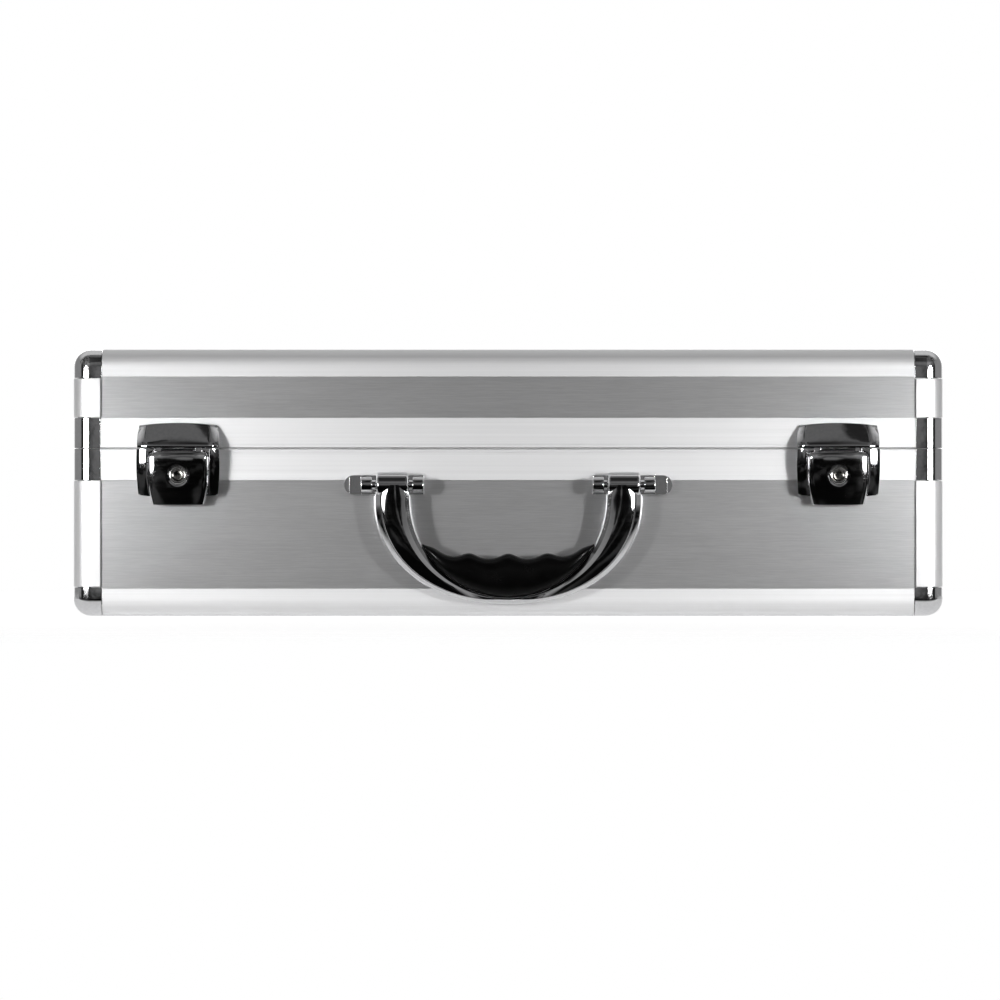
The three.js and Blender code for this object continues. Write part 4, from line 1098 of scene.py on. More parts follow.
def base_plate(latch, middle):
    """Both cheeks, the wall behind the flap and the slotted boss for the cam."""
    def place(across, up):
        s = (1 - up) / 2
        height = -HAIRLINE - s * (latch.drop - HAIRLINE)
        x = cheek_half(latch, height) * across * BACK_WALL_SHARE
        height += latch.arch * across * across * s
        return latch_point(middle, x, latch.back_wall + HAIRLINE, height)

    wall = seated(shaped_grid(16, 12, place))
    half, slot = latch.boss_width / 2, latch.neck + HAIRLINE
    inside = math.hypot(latch.cam_length, latch.cam_width) / 2 + CAM_ROOM
    floor = lock_drop() + inside
    front, back = latch.boss_depth - latch.boss_wall, latch.back_wall

    def part(x0, x1, out0, out1, drop0, drop1):
        low = latch_point(middle, min(x0, x1), out1, -drop1)
        return block(low, latch_point(middle, max(x0, x1), out0, -drop0), FINE_EDGE)

    walls = [part(-half, half, back, front + HAIRLINE, floor, latch.boss_foot)]
    for hand in HANDS.values():
        for near, out0, out1 in ((inside, back, front + HAIRLINE), (slot, front, latch.boss_depth)):
            walls.append(part(hand * near, hand * half, out0, out1, latch.boss_top, latch.boss_foot))
    walls.append(part(-half, half, front, latch.boss_depth, floor + HAIRLINE, latch.boss_foot))
    return joined(wall, *[cheek(latch, middle, hand) for hand in HANDS.values()], *walls)


ROLL_START = math.radians(205)
ROLL_STEPS = 20
FRONT_STEPS = 40
EDGE_STEPS = 12
SLOT_STEPS = 8
SLOT_TOP_TURN = math.radians(40)


def lug_slot(latch):
    """Where a lug's slot in the flap starts and ends, out from the flap's middle."""
    reach = latch.lug_width / 2 + HAIRLINE
    return latch.lug_spacing / 2 - reach, latch.lug_spacing / 2 + reach


def flap_rows(latch):
    """Points of (out, up, look out, look up) down the flap: the rolled top, then the front."""
    axis = flap_axis("left")
    out, drop = FRONT - axis.y, PARTING - axis.z
    rows = []
    for step in range(ROLL_STEPS + 1):
        turn = ROLL_START + (latch.flap_lean - ROLL_START) * step / ROLL_STEPS
        look = (math.cos(turn), math.sin(turn))
        rows.append((out + latch.roll * look[0], -drop + latch.roll * look[1], *look))
    start = rows[-1][:2]
    foot = (latch.flap_out, -latch.flap_drop)
    pull = (start[0] + latch.flap_knee * math.sin(latch.flap_lean),
            start[1] - latch.flap_knee * math.cos(latch.flap_lean))
    for step in range(1, FRONT_STEPS + 1):
        s = step / FRONT_STEPS
        place = [(1 - s) ** 2 * a + 2 * s * (1 - s) * b + s * s * c for a, b, c in zip(start, pull, foot)]
        slope = [2 * (1 - s) * (b - a) + 2 * s * (c - b) for a, b, c in zip(start, pull, foot)]
        length = math.hypot(*slope)
        rows.append((*place, -slope[1] / length, slope[0] / length))
    return rows


def flap_columns(latch):
    """Shares across the flap, with lines on both sides of each lug's slot."""
    near, far = lug_slot(latch)
    half = latch.flap_width / 2
    stops = [near * step / SLOT_STEPS for step in range(SLOT_STEPS + 1)] + [(near + far) / 2, far]
    for step in range(1, EDGE_STEPS + 1):
        s = step / EDGE_STEPS
        stops.append(far + (half - far) * s * (2 - s))
    shares = [stop / half for stop in stops]
    return [-share for share in reversed(shares[1:])] + shares


def flap_edge_fall(latch, share):
    """How far the flap's front lies back at a share of its half width."""
    rolled = 1 - math.sqrt(max(0.0, 1 - abs(share) ** latch.flap_squareness))
    return latch.flap_edge * rolled + latch.flap_crown * share * share


def flap_out(latch, rows, across, up):
    """How far the flap's front stands out at a place."""
    low = next(index for index, row in enumerate(rows) if index > ROLL_STEPS and row[1] < up)
    above, below = rows[low - 1], rows[low]
    share = (above[1] - up) / (above[1] - below[1])
    return above[0] + (below[0] - above[0]) * share - flap_edge_fall(latch, across / flap_half(latch, up))


def flap(latch, middle):
    """The flap: a rolled top round the pin, a bowed front with rounded sides, and a dished lock hole."""
    rows, columns = flap_rows(latch), flap_columns(latch)

    def place(across, up):
        share = columns[round((across + 1) / 2 * (len(columns) - 1))]
        out, height, look_out, look_up = rows[round((1 - up) / 2 * (len(rows) - 1))]
        edge = flap_edge_fall(latch, share)
        return latch_point(
            middle, share * flap_half(latch, height), out - edge * look_out, height - edge * look_up)

    bm = faced(shaped_grid(len(columns) - 1, len(rows) - 1, place), -Y)
    axis_out, axis_drop = FRONT - flap_axis("left").y, PARTING - flap_axis("left").z
    slot_near, slot_far = lug_slot(latch)
    slot_top = latch.roll * math.sin(SLOT_TOP_TURN)
    slots, hole = [], []
    lock_z = PARTING - lock_drop()
    clear = latch.dish + 2 * HAIRLINE
    for face in bm.faces:
        centre = face.calc_center_median()
        across, up, out = abs(centre.x - middle), centre.z - PARTING + axis_drop, FRONT - centre.y
        if slot_near < across < slot_far and (up > slot_top or (out < axis_out and up > -latch.roll)):
            slots.append(face)
        if across < clear and abs(centre.z - lock_z) < clear:
            hole.append(face)
    bmesh.ops.delete(bm, geom=slots + hole, context="FACES")
    dish_lock_hole(bm, latch, rows, middle, lock_z)
    side_walls(bm, latch, middle)
    return faced(bm, -Y)


DISH_SHARES = (0.0, 0.35, 0.65, 1.0)
GAP_REACH = 1.9


def dish_lock_hole(bm, latch, rows, middle, lock_z):
    """Joins the square gap round the lock to a round dish with a hole in it."""
    reach = latch.dish * GAP_REACH
    gap = [edge for edge in bm.edges if edge.is_boundary and all(
        abs(v.co.x - middle) < reach and abs(v.co.z - lock_z) < reach and FRONT - v.co.y > latch.lock
        for v in edge.verts)]
    loops = []
    margin = latch.dish - latch.lock - HAIRLINE
    for share in DISH_SHARES:
        radius, sunk = latch.dish - margin * share, latch.dish_depth * share
        centre = Matrix.Translation((middle, FRONT, lock_z)) @ Matrix.Rotation(RIGHT_ANGLE, 4, "X")
        ring = bmesh.ops.create_circle(bm, cap_ends=False, radius=radius, segments=len(gap), matrix=centre)
        for vert in ring["verts"]:
            vert.co.y -= flap_out(latch, rows, vert.co.x - middle, vert.co.z - PARTING) - sunk
        loops.append(list({edge for v in ring["verts"] for edge in v.link_edges}))
    for outer, inner in zip([gap] + loops, loops):
        bmesh.ops.bridge_loops(bm, edges=outer + inner)
    made = bmesh.ops.extrude_edge_only(bm, edges=loops[-1])["geom"]
    bmesh.ops.translate(bm, vec=Y * latch.hole_depth, verts=verts_of(made))


NEAR_FOOT = 0.5 * MM
NEAR_SIDE = 0.05 * MM


def side_walls(bm, latch, middle):
    """Draws the flap's side and foot edges back towards the case."""
    axis_z = flap_axis("left").z
    foot_z = PARTING - latch.flap_drop
    sides, foot = [], []
    for edge in bm.edges:
        if not edge.is_boundary:
            continue
        if all(abs(v.co.z - foot_z) < NEAR_FOOT for v in edge.verts):
            foot.append(edge)
        elif all(abs(v.co.x - middle) > flap_half(latch, v.co.z - PARTING) - NEAR_SIDE
                 and v.co.z < axis_z + WELD and v.co.y < FRONT - latch.skirt - MM for v in edge.verts):
            sides.append(edge)
    made = bmesh.ops.extrude_edge_only(bm, edges=sides + foot)["geom"]
    lip_half = latch.flap_foot / 2 - latch.flap_wall
    for vert in verts_of(made):
        over_boss = abs(vert.co.z - foot_z) < NEAR_FOOT and abs(vert.co.x - middle) < lip_half
        vert.co.y = FRONT - (latch.lip if over_boss else latch.skirt)


RING_STEPS = 10
RING_FLATNESS = 0.9


def lock_barrel(latch, middle):
    """The key barrel with its round ring and keyhole, and the cam behind it."""
    rows = flap_rows(latch)
    drop = lock_drop()
    front = min(rows[ROLL_STEPS + 1:], key=lambda row: abs(row[1] + drop))[0] + latch.lock_proud
    back = latch.boss_depth + 2 * HAIRLINE
    cam_front = latch.boss_depth - latch.boss_wall - HAIRLINE
    cam_back = cam_front - latch.cam
    floor = front - latch.keyhole_depth
    brim = front - latch.ring_sunk
    mouth = brim - latch.ring_slope
    profile = [(floor, 0), (floor, latch.keyhole_foot),
               (mouth - PLAIN_EDGE / 2, latch.keyhole - FINE_EDGE / 2), (mouth, latch.keyhole),
               (brim, latch.ring)]
    radius = (latch.lock - latch.ring) / 2
    for step in range(1, RING_STEPS + 1):
        turn = math.pi * step / RING_STEPS
        fall = latch.ring_fall * step / RING_STEPS
        rise = radius * RING_FLATNESS * math.sin(turn)
        profile.append((brim + rise - fall, latch.ring + radius * (1 - math.cos(turn))))
    profile += [(back, latch.lock), (back, latch.neck), (cam_back, latch.neck), (cam_back, 0)]
    centre = latch_point(middle, 0, 0, -drop)
    barrel = lathe(profile, centre, -Y, 72)
    cam = block(
        latch_point(middle, -latch.cam_width / 2, cam_front, -drop - latch.cam_length / 2),
        latch_point(middle, latch.cam_width / 2, cam_back, -drop + latch.cam_length / 2), FINE_EDGE)
    return joined(barrel, cam)


class TOOLCASE_OT_latches(bpy.types.Operator):
    """Lid plates, base plates, flaps, key barrels and pins of both latches"""
    bl_idname = "toolcase.latches"
    bl_label = "Latches"

    def execute(self, context):
        latch = context.scene.tool_case.latch
        for hand in HANDS:
            axis = flap_axis(hand)
            middle = axis.x
            plate = joined(lid_plate(latch, middle), *lid_lugs(latch, middle))
            finished(plate, f"latch_upper_{hand}", "lid", [f"latch_lid_plate_{hand}"],
                     "polished_fitting")
            finished(base_plate(latch, middle), f"latch_lower_{hand}", "base", [f"latch_base_plate_{hand}"],
                     "polished_fitting")
            cover = finished(flap(latch, middle), f"latch_cover_{hand}", f"{hand}_latch_flap",
                             [f"latch_flap_{hand}"], "polished_fitting", closed=False)
            self.thicken(cover, latch)
            finished(lock_barrel(latch, middle), f"latch_key_barrel_{hand}", f"{hand}_latch_lock",
                     [f"latch_lock_barrel_{hand}"], "lock_plate", 30.0)
            half = latch.flap_width / 2 - 2 * HAIRLINE
            finished(rod(-half, half, latch.pin, axis, X, PLAIN_EDGE, 28), f"latch_axle_{hand}", "lid",
                     [f"latch_hinge_pin_{hand}"], "nickel_plate")
        return {"FINISHED"}

    def thicken(self, cover, latch):
        """Gives the flap its wall, drawn inwards, and rounds its edges."""
        wall = cover.modifiers.new("wall", "SOLIDIFY")
        wall.thickness = latch.flap_wall
        wall.offset = -1.0
        edges = cover.modifiers.new("rounded_edges", "BEVEL")
        edges.width = latch.flap_rim
        edges.segments = 2
        edges.limit_method = "ANGLE"
        edges.angle_limit = math.radians(50)
        cover.modifiers.move(cover.modifiers.find("flat_faces"), len(cover.modifiers) - 1)


# Handle: places are from the handle's axis

def squared(value, squareness):
    """Bends a sine or cosine so that its round becomes a rounded square."""
    return math.copysign(abs(value) ** (2 / squareness), value)


STRAIGHT_SHARE = 0.07
REAR_SHARE = 0.46
REAR_POWER = 5
GRIP_SQUARENESS = 2.5


def bow_lines(handle, run):
    """Outer and inner points of the bow at a place from -1 to 1: straight necks, then the bow."""
    past = abs(run) - (1 - STRAIGHT_SHARE)
    outer_half, inner_half = handle.outer_width / 2, handle.inner_width / 2
    eye = (handle.outer_width + handle.inner_width) / 4
    if past > 0:
        rise = past / STRAIGHT_SHARE
        side = math.copysign(1, -run)
        height = -handle.shoulder * (1 - rise)
        ease = rise * rise * (3 - 2 * rise)
        outer = outer_half + (eye + handle.eye_width / 2 - outer_half) * ease
        inner = inner_half + (eye - handle.eye_width / 2 - inner_half) * ease
        return Vector((side * outer, 0, height)), Vector((side * inner, 0, height))
    turn = math.pi * (run / (1 - STRAIGHT_SHARE) + 1) / 2
    drop = handle.drop - handle.shoulder
    outer = Vector((outer_half * squared(math.cos(turn), handle.squareness), 0,
                    -handle.shoulder - drop * squared(math.sin(turn), handle.squareness)))
    inner = Vector((inner_half * math.cos(turn), 0,
                    -handle.shoulder - (drop - handle.band) * math.sin(turn)))
    return outer, inner


# Strips of the bow's front: width in millimetres, then the lean at both sides in degrees
OUTER_STRIPS = ((0.9, 80, 48), (2.3, 42, 37), (0.5, -14, -4), (0.4, 50, 34), (2.5, 24, 18.5))
INNER_STRIPS = ((0.7, 80, 48), (2.1, 24, 23), (2.9, 14, 10))
STRIP_STEPS = 4
CROWN_STEPS = 10
EDGE_SHARE = 0.72
SMALLEST_SHARE = 0.04
FULL_HEIGHT_SHARE = 0.85


def strip_points(strips, widths, shares):
    """Points of (from the edge, rise) over strips side by side, each drawn in by its share."""
    points = [(0.0, 0.0)]
    for (_, first, last), width, share in zip(strips, widths, shares):
        step = width / STRIP_STEPS
        for index in range(STRIP_STEPS):
            lean = math.radians(first + (last - first) * (index + 0.5) / STRIP_STEPS)
            across, rise = points[-1]
            flat = min(1.0, share / FULL_HEIGHT_SHARE)
            points.append((across + step * share, rise + step * flat * math.tan(lean)))
    return points


def bow_front(handle, width, drop):
    """Points of (across from the middle, height) over the bow's front, from its outer edge."""
    lit = max(SMALLEST_SHARE, 1 - drop / handle.lit_drop)
    outer = [strip[0] * MM for strip in OUTER_STRIPS]
    outer[-1] *= lit
    inner = [strip[0] * MM for strip in INNER_STRIPS]
    edge = min(outer[0] + outer[1], EDGE_SHARE * width)
    rest = (width - edge) / (handle.outer_width / 2 - handle.inner_width / 2 - outer[0] - outer[1])
    left = strip_points(OUTER_STRIPS, outer, [edge / (outer[0] + outer[1])] * 2 + [min(1.0, rest)] * 3)
    right = strip_points(INNER_STRIPS, inner, [min(1.0, rest)] * 3)
    lower = handle.taper * drop / handle.drop
    front = [(width / 2 - a, handle.outer_level - lower + b) for a, b in left]
    back = [(a - width / 2, handle.inner_level - lower + b) for a, b in reversed(right)]
    crown = []
    for index in range(1, CROWN_STEPS):
        s = index / CROWN_STEPS
        bulge = handle.crown * 4 * s * (1 - s) * min(1.0, rest)
        crown.append(tuple(a + (b - a) * s + c for a, b, c in zip(front[-1], back[0], (0, bulge))))
    return front + crown + back


def bow(handle):
    """The chrome bow: necks, arms and the band under the grip, with an eye at each end."""
    front_steps = (len(OUTER_STRIPS) + len(INNER_STRIPS)) * STRIP_STEPS + CROWN_STEPS

    def place(run, round_share):
        outer, inner = bow_lines(handle, run)
        middle, half = (outer + inner) / 2, (outer - inner).length / 2
        direction = (outer - inner).normalized()
        if round_share >= 0:
            across, out = bow_front(handle, 2 * half, -middle.z)[round(round_share * front_steps)]
        else:
            turn = math.pi * round_share
            across = half * math.cos(turn)
            round_rear = math.sqrt(max(0.0, 1 - abs(math.cos(turn)) ** REAR_POWER))
            rear = REAR_SHARE * handle.thickness * round_rear
            lower = handle.taper * -middle.z / handle.drop
            inward = (half - across) / (2 * half)
            edge = handle.outer_level + (handle.inner_level - handle.outer_level) * inward
            out = edge - lower - rear
        return HANDLE_AXIS + middle + direction * across + Vector((0, -out, 0))

    arms = shaped_grid(132, 2 * front_steps, place)
    bmesh.ops.remove_doubles(arms, verts=arms.verts, dist=WELD)
    rims = [edge for edge in arms.edges if edge.is_boundary]
    bmesh.ops.edgeloop_fill(arms, edges=rims)
    bmesh.ops.recalc_face_normals(arms, faces=arms.faces)
    eyes = []
    for hand in HANDS.values():
        centre = hand * (handle.outer_width + handle.inner_width) / 4
        near, far = centre - handle.eye_width / 2, centre + handle.eye_width / 2
        edge = handle.eye_edge
        rounding = [(edge - a, b - edge) for a, b in dome(edge, edge)]
        side = [(near + a, handle.eye_radius + b) for a, b in rounding]
        other = [(far - a, handle.eye_radius + b) for a, b in reversed(rounding)]
        eyes.append(lathe([(near, handle.pin), *side, *other, (far, handle.pin), (near, handle.pin)],
                          HANDLE_AXIS, X, 56))
    return joined(arms, *eyes)


GRIP_LIFT = 0.15 * MM
TIP_FALL_POWER = 4
TIP_POWER = 6
WAVE_PEAK = 0.22


def grip(handle):
    """The soft grip in the bow's hollow, with finger waves along its top."""
    semi_width = handle.inner_width / 2
    semi_drop = handle.drop - handle.band - handle.shoulder
    tip_rise = (handle.grip_tip_drop - handle.shoulder) / semi_drop
    tip = semi_width * math.sqrt(1 - tip_rise ** 2) - 2 * HAIRLINE
    tip_share = handle.grip_tip / handle.grip_thickness

    def bed(x):
        return -handle.shoulder - semi_drop * math.sqrt(1 - (x / semi_width) ** 2) + GRIP_LIFT

    def crest(x):
        rise = (abs(x) / tip) ** TIP_FALL_POWER * (handle.grip_top - handle.grip_tip_drop)
        fade = 1 - (abs(x) / tip) ** TIP_POWER
        swing = math.cos(FULL_TURN * x / handle.wave_spacing)
        wave = handle.wave * fade * (swing + WAVE_PEAK * swing * swing)
        return max(-handle.grip_top + rise + wave, bed(x) + HAIRLINE)

    def place(run, round_share):
        x = tip * math.sin(run * RIGHT_ANGLE)
        turn = math.pi * round_share
        slimming = (1 - tip_share ** 2) * (x / tip) ** TIP_POWER
        half_thick = handle.grip_thickness / 2 * math.sqrt(1 - slimming)
        middle, half = (bed(x) + crest(x)) / 2, (crest(x) - bed(x)) / 2
        out = half_thick * squared(math.sin(turn), GRIP_SQUARENESS)
        return HANDLE_AXIS + Vector((x, -out, middle + half * squared(math.cos(turn), GRIP_SQUARENESS)))

    bm = shaped_grid(150, 48, place)
    bmesh.ops.remove_doubles(bm, verts=bm.verts, dist=WELD)
    bmesh.ops.edgeloop_fill(bm, edges=[edge for edge in bm.edges if edge.is_boundary])
    return bm


def bracket(handle, hand):
    """A handle bracket: plate, sloping pad and two knuckles."""
    eye = Vector((hand * (handle.outer_width + handle.inner_width) / 4, 0, 0)) + HANDLE_AXIS
    half = handle.bracket_height / 2

    def outline(start, end, depth, edge):
        """A flat bar with one round end, standing out from the case's face."""
        points = [(start, -half), (start, half)]
        round_end = end - half
        for step in range(17):
            turn = math.radians(90 - 180 * step / 16)
            points.append((round_end + half * math.cos(turn), half * math.sin(turn)))
        origin = Vector((eye.x, FRONT - SUNK, eye.z))
        return softened(extrusion(points, origin, X * hand, Z, Y * -(depth - SUNK)), edge, 3, 40.0)

    plate = outline(-handle.inner_reach, handle.outer_reach, handle.plate, BROAD_EDGE)
    pad = outline(handle.outer_reach - handle.pad_length, handle.outer_reach, handle.pad, FINE_EDGE)
    plane = Vector((handle.pad_fall * hand, -handle.pad_slope, 0)).normalized()
    corner = Vector((eye.x + hand * (handle.outer_reach - handle.pad_slope), FRONT - handle.pad, eye.z))
    cut = bmesh.ops.bisect_plane(
        pad, geom=pad.verts[:] + pad.edges[:] + pad.faces[:], plane_co=corner, plane_no=plane,
        clear_outer=True, clear_inner=False)
    bmesh.ops.edgeloop_fill(pad, edges=edges_of(cut["geom_cut"]))
    shapes = [plate, softened(pad, PRESSED_EDGE, 2, 28.0)]
    for side in HANDS.values():
        low, high = sorted((side * (handle.eye_width / 2 + handle.knuckle_gap), side * handle.inner_reach))
        shapes.append(tube(low, high, handle.knuckle, handle.pin, eye, X, handle.knuckle_edge, 44))
        ends = sorted((side * (handle.eye_width / 2 + HAIRLINE),
                       side * (handle.eye_width / 2 + handle.knuckle_gap + FINE_EDGE)))
        shapes.append(tube(*ends, handle.collar, handle.pin, eye, X, FINE_EDGE, 32))
        web = handle.knuckle * 0.9
        shapes.append(block((eye.x + low, eye.y + handle.pin, eye.z - web),
                            (eye.x + high, FRONT - handle.plate / 2, eye.z + web), BROAD_EDGE))
    return joined(*shapes)


class TOOLCASE_OT_handle(bpy.types.Operator):
    """Bow, grip, brackets and pins of the handle"""
    bl_idname = "toolcase.handle"
    bl_label = "Handle"

    def execute(self, context):
        handle = context.scene.tool_case.handle
        finished(bow(handle), "handle_chrome_bow", "handle", ["handle_bow"],
                 "polished_fitting", 9.5)
        finished(grip(handle), "handle_soft_grip", "handle", ["handle_grip"],
                 "soft_black", 60.0)
        for side, hand in HANDS.items():
            finished(bracket(handle, hand), f"handle_mount_{side}", "base", [f"handle_bracket_{side}"],
                     "polished_fitting")
            reach = handle.inner_reach - HAIRLINE
            eye = HANDLE_AXIS + X * hand * (handle.outer_width + handle.inner_width) / 4
            finished(rod(-reach, reach, handle.pin, eye, X, handle.pin_edge, 32), f"handle_axle_{side}",
                     "base", [f"handle_pin_{side}"], "nickel_plate")
        return {"FINISHED"}


# Hinges

def hinge_leaf(hinge, middle, upright, knuckles, clear):
    """A leaf with its rolled knuckles and three rivets. Upright is 1 on the lid and -1 on the base."""
    half = hinge.width / 2
    top, foot = hinge.leaf_gap, hinge.leaf_gap + hinge.leaf_height
    step = hinge.knuckle + 2 * HAIRLINE
    lower = [(-half, foot), (half, foot)]
    if clear == "middle":
        notch = hinge.middle / 2 + HAIRLINE
        upper = [(half, top), (notch, top), (notch, step), (-notch, step), (-notch, top), (-half, top)]
    else:
        notch = hinge.middle / 2
        upper = [(half, step), (notch, step), (notch, top), (-notch, top), (-notch, step), (-half, step)]
    origin = Vector((middle, BACK + SUNK, PARTING))
    plate = extrusion(lower + upper, origin, X, Z * upright, Y * (hinge.leaf + FINE_EDGE))
    shapes = [softened(plate, PRESSED_EDGE, 2, 40.0)]
    axis = Vector((middle, HINGE_AXIS.y, HINGE_AXIS.z))
    for near, far in knuckles:
        shapes.append(tube(near, far, hinge.knuckle, hinge.pin, axis, X, PLAIN_EDGE, 36))
        heights = sorted((upright * hinge.leaf_gap, upright * hinge.knuckle))
        shapes.append(block((middle + near, BACK + HAIRLINE, PARTING + heights[0]),
                            (middle + far, HINGE_AXIS.y, PARTING + heights[1]), FINE_EDGE))
    height = upright * (hinge.leaf_height / 2 + hinge.knuckle / 2)
    for share in (-1, 0, 1):
        x = share * (half - 2 * hinge.rivet)
        head = dome(hinge.rivet_height, hinge.rivet) + [(-HAIRLINE, hinge.rivet), (-HAIRLINE, 0)]
        seat = Vector((middle + x, BACK + HAIRLINE + hinge.leaf, PARTING + height))
        shapes.append(lathe(head, seat, Y, 28))
    return shapes


class TOOLCASE_OT_hinges(bpy.types.Operator):
    """Stop hinges at the back of the case"""
    bl_idname = "toolcase.hinges"
    bl_label = "Hinges"

    def execute(self, context):
        hinge = context.scene.tool_case.hinge
        half, mid = hinge.width / 2, hinge.middle / 2
        outer = [(-half, -mid - HAIRLINE), (mid + HAIRLINE, half)]
        for side in HANDS:
            middle = middle_of(f"hinge_pin_{side}").x
            base = hinge_leaf(hinge, middle, -1, outer, "middle")
            front = HINGE_AXIS.y - hinge.heel / 2 - HAIRLINE
            pad_top = PARTING - hinge.knuckle - 2 * HAIRLINE
            base.append(block((middle - mid, BACK + HAIRLINE, pad_top - hinge.pad_height),
                              (middle + mid, front, pad_top), PLAIN_EDGE))
            finished(joined(*base), f"hinge_lower_{side}", "base", [f"hinge_base_leaf_{side}"],
                     "nickel_plate")
            lid = hinge_leaf(hinge, middle, 1, [(-mid, mid)], "outer")
            lid.append(self.heel(hinge, middle))
            finished(joined(*lid), f"hinge_upper_{side}", "lid", [f"hinge_lid_leaf_{side}"],
                     "nickel_plate")
            axis = Vector((middle, HINGE_AXIS.y, HINGE_AXIS.z))
            finished(rod(HAIRLINE - half, half - HAIRLINE, hinge.pin, axis, X, PLAIN_EDGE, 28),
                     f"hinge_axle_{side}", "base", [f"hinge_pin_{side}"], "nickel_plate")
        return {"FINISHED"}

    def heel(self, hinge, middle):
        """The heel that lands on the stop pad when the lid is fully open."""
        lift = hinge.stop - RIGHT_ANGLE
        axis_out = HINGE_AXIS.y - BACK
        length = (hinge.reach - axis_out - hinge.heel / 2 * math.sin(lift)) / math.cos(lift)
        shape = block((-hinge.middle / 2, hinge.pin, -hinge.heel / 2),
                      (hinge.middle / 2, length, hinge.heel / 2), PLAIN_EDGE)
        matrix = Matrix.Translation((middle, HINGE_AXIS.y, HINGE_AXIS.z)) @ Matrix.Rotation(lift, 4, "X")
        bmesh.ops.transform(shape, matrix=matrix, verts=shape.verts)
        return shape


# Stage

PICTURE_WIDTH_PX = 1000
CASE_LEFT_PX, CASE_RIGHT_PX, CASE_FOOT_PX = 72.9, 943.5, 616.0
SENSOR = 36.0
FLOOR_TONES = (0.85, 0.07, 0.004)
FLOOR_GLOW = 1.7


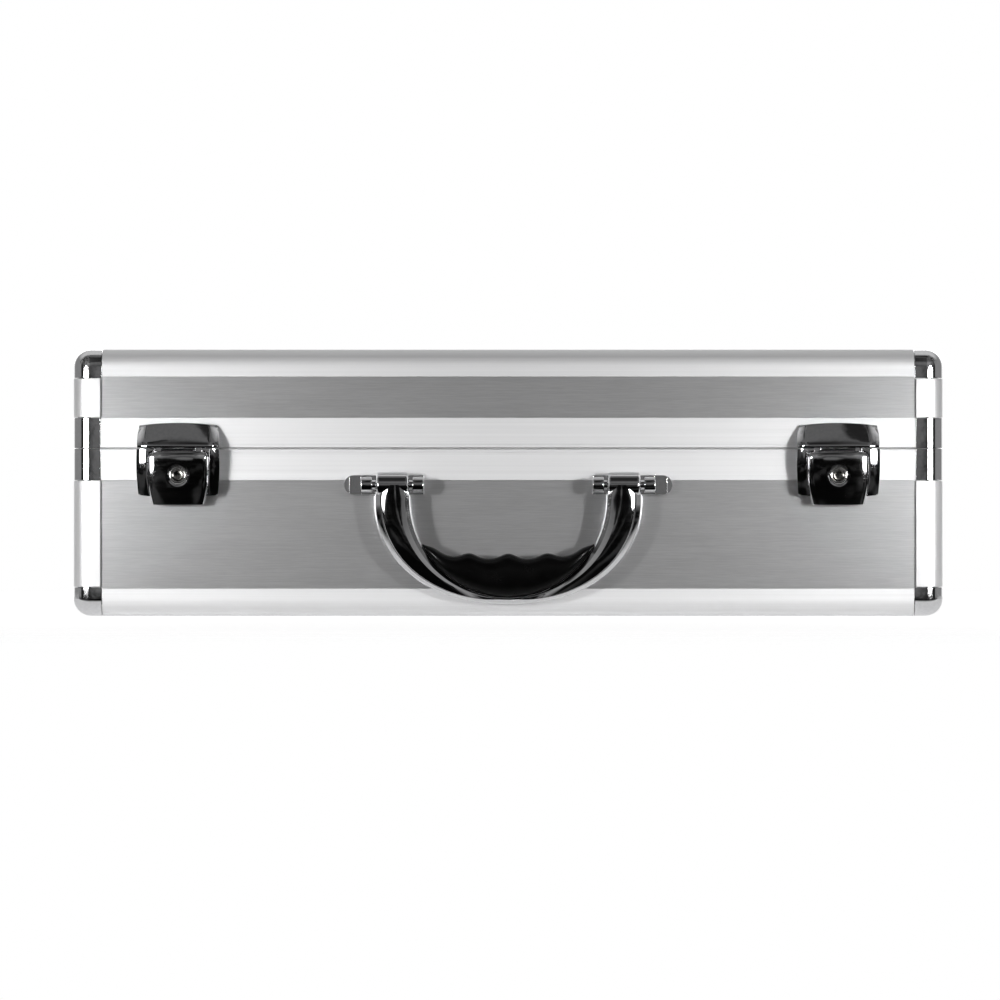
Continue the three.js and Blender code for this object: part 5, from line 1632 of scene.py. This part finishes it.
class TOOLCASE_OT_stage(bpy.types.Operator):
    """Camera, lamps, pale floor and surroundings"""
    bl_idname = "toolcase.stage"
    bl_label = "Stage"

    def execute(self, context):
        stage = context.scene.tool_case.stage
        context.scene.view_settings.view_transform = "Standard"
        self.camera(context, stage)
        self.lamps(stage)
        self.surroundings(context)
        self.floor(stage)
        return {"FINISHED"}

    def camera(self, context, stage):
        """Straight on, so that the case's ends and foot fall on their places in the picture."""
        metres_per_px = (RIGHT - LEFT) / (CASE_RIGHT_PX - CASE_LEFT_PX)
        data = bpy.data.cameras.new("camera")
        data.sensor_width = SENSOR
        data.lens = SENSOR * stage.camera_distance / (PICTURE_WIDTH_PX * metres_per_px)
        data.clip_start = 0.01
        eye = bpy.data.objects.new("camera", data)
        centre_px = (CASE_LEFT_PX + CASE_RIGHT_PX) / 2
        eye.location = ((PICTURE_WIDTH_PX / 2 - centre_px) * metres_per_px, FRONT - stage.camera_distance,
                        FOOT + (CASE_FOOT_PX - PICTURE_WIDTH_PX / 2) * metres_per_px)
        eye.rotation_euler = (RIGHT_ANGLE, 0, 0)
        context.scene.collection.objects.link(eye)
        context.scene.camera = eye

    def lamp(self, name, place, target, wide, high, watts, spread=math.pi):
        """A lamp with a flat face, aimed at a target and hidden from the camera."""
        data = bpy.data.lights.new(name, "AREA")
        data.shape = "RECTANGLE"
        data.size, data.size_y = wide, high
        data.energy = watts
        data.spread = spread
        lamp = bpy.data.objects.new(name, data)
        lamp.location = place
        lamp.rotation_euler = (Vector(target) - Vector(place)).to_track_quat("-Z", "Y").to_euler()
        lamp.visible_camera = False
        bpy.context.scene.collection.objects.link(lamp)

    def lamps(self, stage):
        """A small lamp and a light panel on each side in front, and a soft lamp behind."""
        for side, hand in HANDS.items():
            key = (hand * stage.key_aside, FRONT - stage.key_ahead, stage.key_height)
            self.lamp(f"key_{side}", key, (hand * stage.key_aim, FRONT, TOP / 2), stage.key_side,
                      stage.key_side, stage.key_watts, stage.key_spread)
            panel = Vector((hand * stage.panel_aside, FRONT - stage.panel_ahead, stage.panel_middle))
            beam = Vector((-hand * math.sin(stage.panel_turn), math.cos(stage.panel_turn), 0))
            self.lamp(f"panel_{side}", panel, panel + beam, stage.panel_width, stage.panel_height,
                      stage.panel_watts, stage.panel_spread)
        self.lamp("rear", (0, BACK + stage.rear_behind, stage.rear_height), (0, BACK, stage.rear_aim),
                  stage.rear_width, stage.rear_side, stage.rear_watts)

    def surroundings(self, context):
        """White to the camera and behind the object. In front it is a dim room, dark below the horizon."""
        world = bpy.data.worlds.new("room")
        world.use_nodes = True
        context.scene.world = world
        room = Finish(world.node_tree)
        look = room.node("ShaderNodeTexCoord", output="Generated")
        sideways, depth, height = (room.parted(look, index) for index in range(3))
        aside = room.node("ShaderNodeMath", {"operation": "ABSOLUTE"}, {0: sideways})
        shapes = room.node("ShaderNodeTexNoise", {}, {"Vector": look, "Scale": 7.0, "Detail": 1.0})
        dark_shapes = room.ranged(shapes, 0.55, 0.6) * room.ranged(height, 0.25, 0.4)
        uneven = room.ranged(aside, 0.34, 0.44) * 0.09 + (shapes - 0.5) * 0.12
        horizon = room.ranged(height + uneven, -0.015, 0.02)
        walls = room.ranged(aside, 0.04, 0.2) * (1 - room.ranged(aside, 0.5, 0.65))
        corners = 1 - room.ranged(aside, 0.74, 0.86) * 0.8
        ceiling = room.ranged(height, 0.0, 0.3) * (1 - room.ranged(height, 0.45, 0.6))
        facing = room.ranged(depth, -0.997, -0.999)
        lit = 0.025 + walls * (0.1 + ceiling * 0.05) + ceiling * 0.1
        front = horizon * lit * corners + facing * 0.12 + 0.002
        beside = room.ranged(depth, -0.45, -0.36)
        overhead = room.ranged(height, 0.5, 0.8)
        rear = room.ranged(depth, -0.2, 0.05)
        tone = front * (1 - beside) + beside * (0.25 + overhead * (rear * 0.48 - 0.13))
        tone = tone * (1 - dark_shapes * (1 - rear) * 0.85)
        seen = room.ray("Camera")
        shown = room.node(
            "ShaderNodeMath", {"operation": "MAXIMUM"}, {0: room.ray("Glossy"), 1: room.ray("Transmission")})
        white = shown * room.ranged(depth, 0.68, 0.82)
        strength = tone * (1 - white) + white
        strength = strength * (1 - seen) + seen
        light = room.node("ShaderNodeBackground", {}, {"Color": (1, 1, 1, 1), "Strength": strength})
        room.node("ShaderNodeOutputWorld", {}, {"Surface": light})

    def floor(self, stage):
        """A pale round floor that keeps the object's shadow and fades out into white."""
        bm = bmesh.new()
        bmesh.ops.create_circle(bm, cap_ends=True, radius=stage.floor_radius, segments=96)
        bmesh.ops.translate(bm, vec=(0, 0, -HAIRLINE), verts=bm.verts)
        mesh = bpy.data.meshes.new("floor")
        bm.to_mesh(mesh)
        bm.free()
        finish = new_finish("floor")
        place = finish.node("ShaderNodeTexCoord", output="Object")
        distance = finish.node("ShaderNodeVectorMath", {"operation": "LENGTH"}, {0: place}, output=1)
        fade = finish.ranged(distance, 0.5 * stage.floor_radius, 0.95 * stage.floor_radius)
        ahead = finish.ranged(
            finish.parted(place, 1), FRONT - stage.dim_floor, FRONT - stage.pale_floor, 1.0, 0.0)
        seen = finish.ray("Camera")
        mirrored = finish.ray("Glossy")
        pale, grey, dark = (
            finish.node("ShaderNodeBsdfDiffuse", {}, {"Color": (tone, tone, tone, 1)})
            for tone in FLOOR_TONES)
        glow = finish.node("ShaderNodeEmission", {}, {"Color": (1, 1, 1, 1), "Strength": FLOOR_GLOW})
        shown = finish.blend(0.5, pale, glow)
        near = finish.blend(0.2, pale, glow)
        patches = finish.ranged(finish.noise(9.0, 1.0), 0.5, 0.62)
        reflected = finish.blend(ahead, near, finish.blend(patches, dark, grey))
        ground = finish.blend(seen, finish.blend(mirrored, pale, reflected), shown)
        clear = finish.node("ShaderNodeBsdfTransparent")
        finish.node("ShaderNodeOutputMaterial", {}, {"Surface": finish.blend(fade, ground, clear)})
        mesh.materials.append(bpy.data.materials["floor"])
        floor = bpy.data.objects.new("floor", mesh)
        bpy.context.scene.collection.objects.link(floor)


class TOOLCASE_PT_sidebar(bpy.types.Panel):
    """Lists the operators in the order that makes the whole case"""
    bl_idname = "TOOLCASE_PT_sidebar"
    bl_label = "Tool Case"
    bl_space_type = "VIEW_3D"
    bl_region_type = "UI"
    bl_category = "Tool Case"

    def draw(self, context):
        for operator in OPERATORS:
            self.layout.operator(operator.bl_idname)


SETTINGS = (CaseSizes, LatchSizes, HandleSizes, HingeSizes, FoamSizes, Finishes, StageSettings,
            ToolCaseSettings)
OPERATORS = (TOOLCASE_OT_finishes, TOOLCASE_OT_edge_profiles, TOOLCASE_OT_upright_corners,
             TOOLCASE_OT_rim_frames, TOOLCASE_OT_boards, TOOLCASE_OT_foam, TOOLCASE_OT_latches,
             TOOLCASE_OT_handle, TOOLCASE_OT_hinges, TOOLCASE_OT_stage)


def register():
    for item in (*SETTINGS, *OPERATORS, TOOLCASE_PT_sidebar):
        bpy.utils.register_class(item)
    bpy.types.Scene.tool_case = PointerProperty(
        type=ToolCaseSettings, name="Tool case", description="Sizes, colours and stage of the tool case")


def unregister():
    del bpy.types.Scene.tool_case
    for item in (TOOLCASE_PT_sidebar, *reversed(OPERATORS), *reversed(SETTINGS)):
        bpy.utils.unregister_class(item)


def main():
    register()
    for step in ("finishes", "edge_profiles", "upright_corners", "rim_frames", "boards", "foam",
                 "latches", "handle", "hinges", "stage"):
        getattr(bpy.ops.toolcase, step)()


if __name__ == "__main__":
    main()
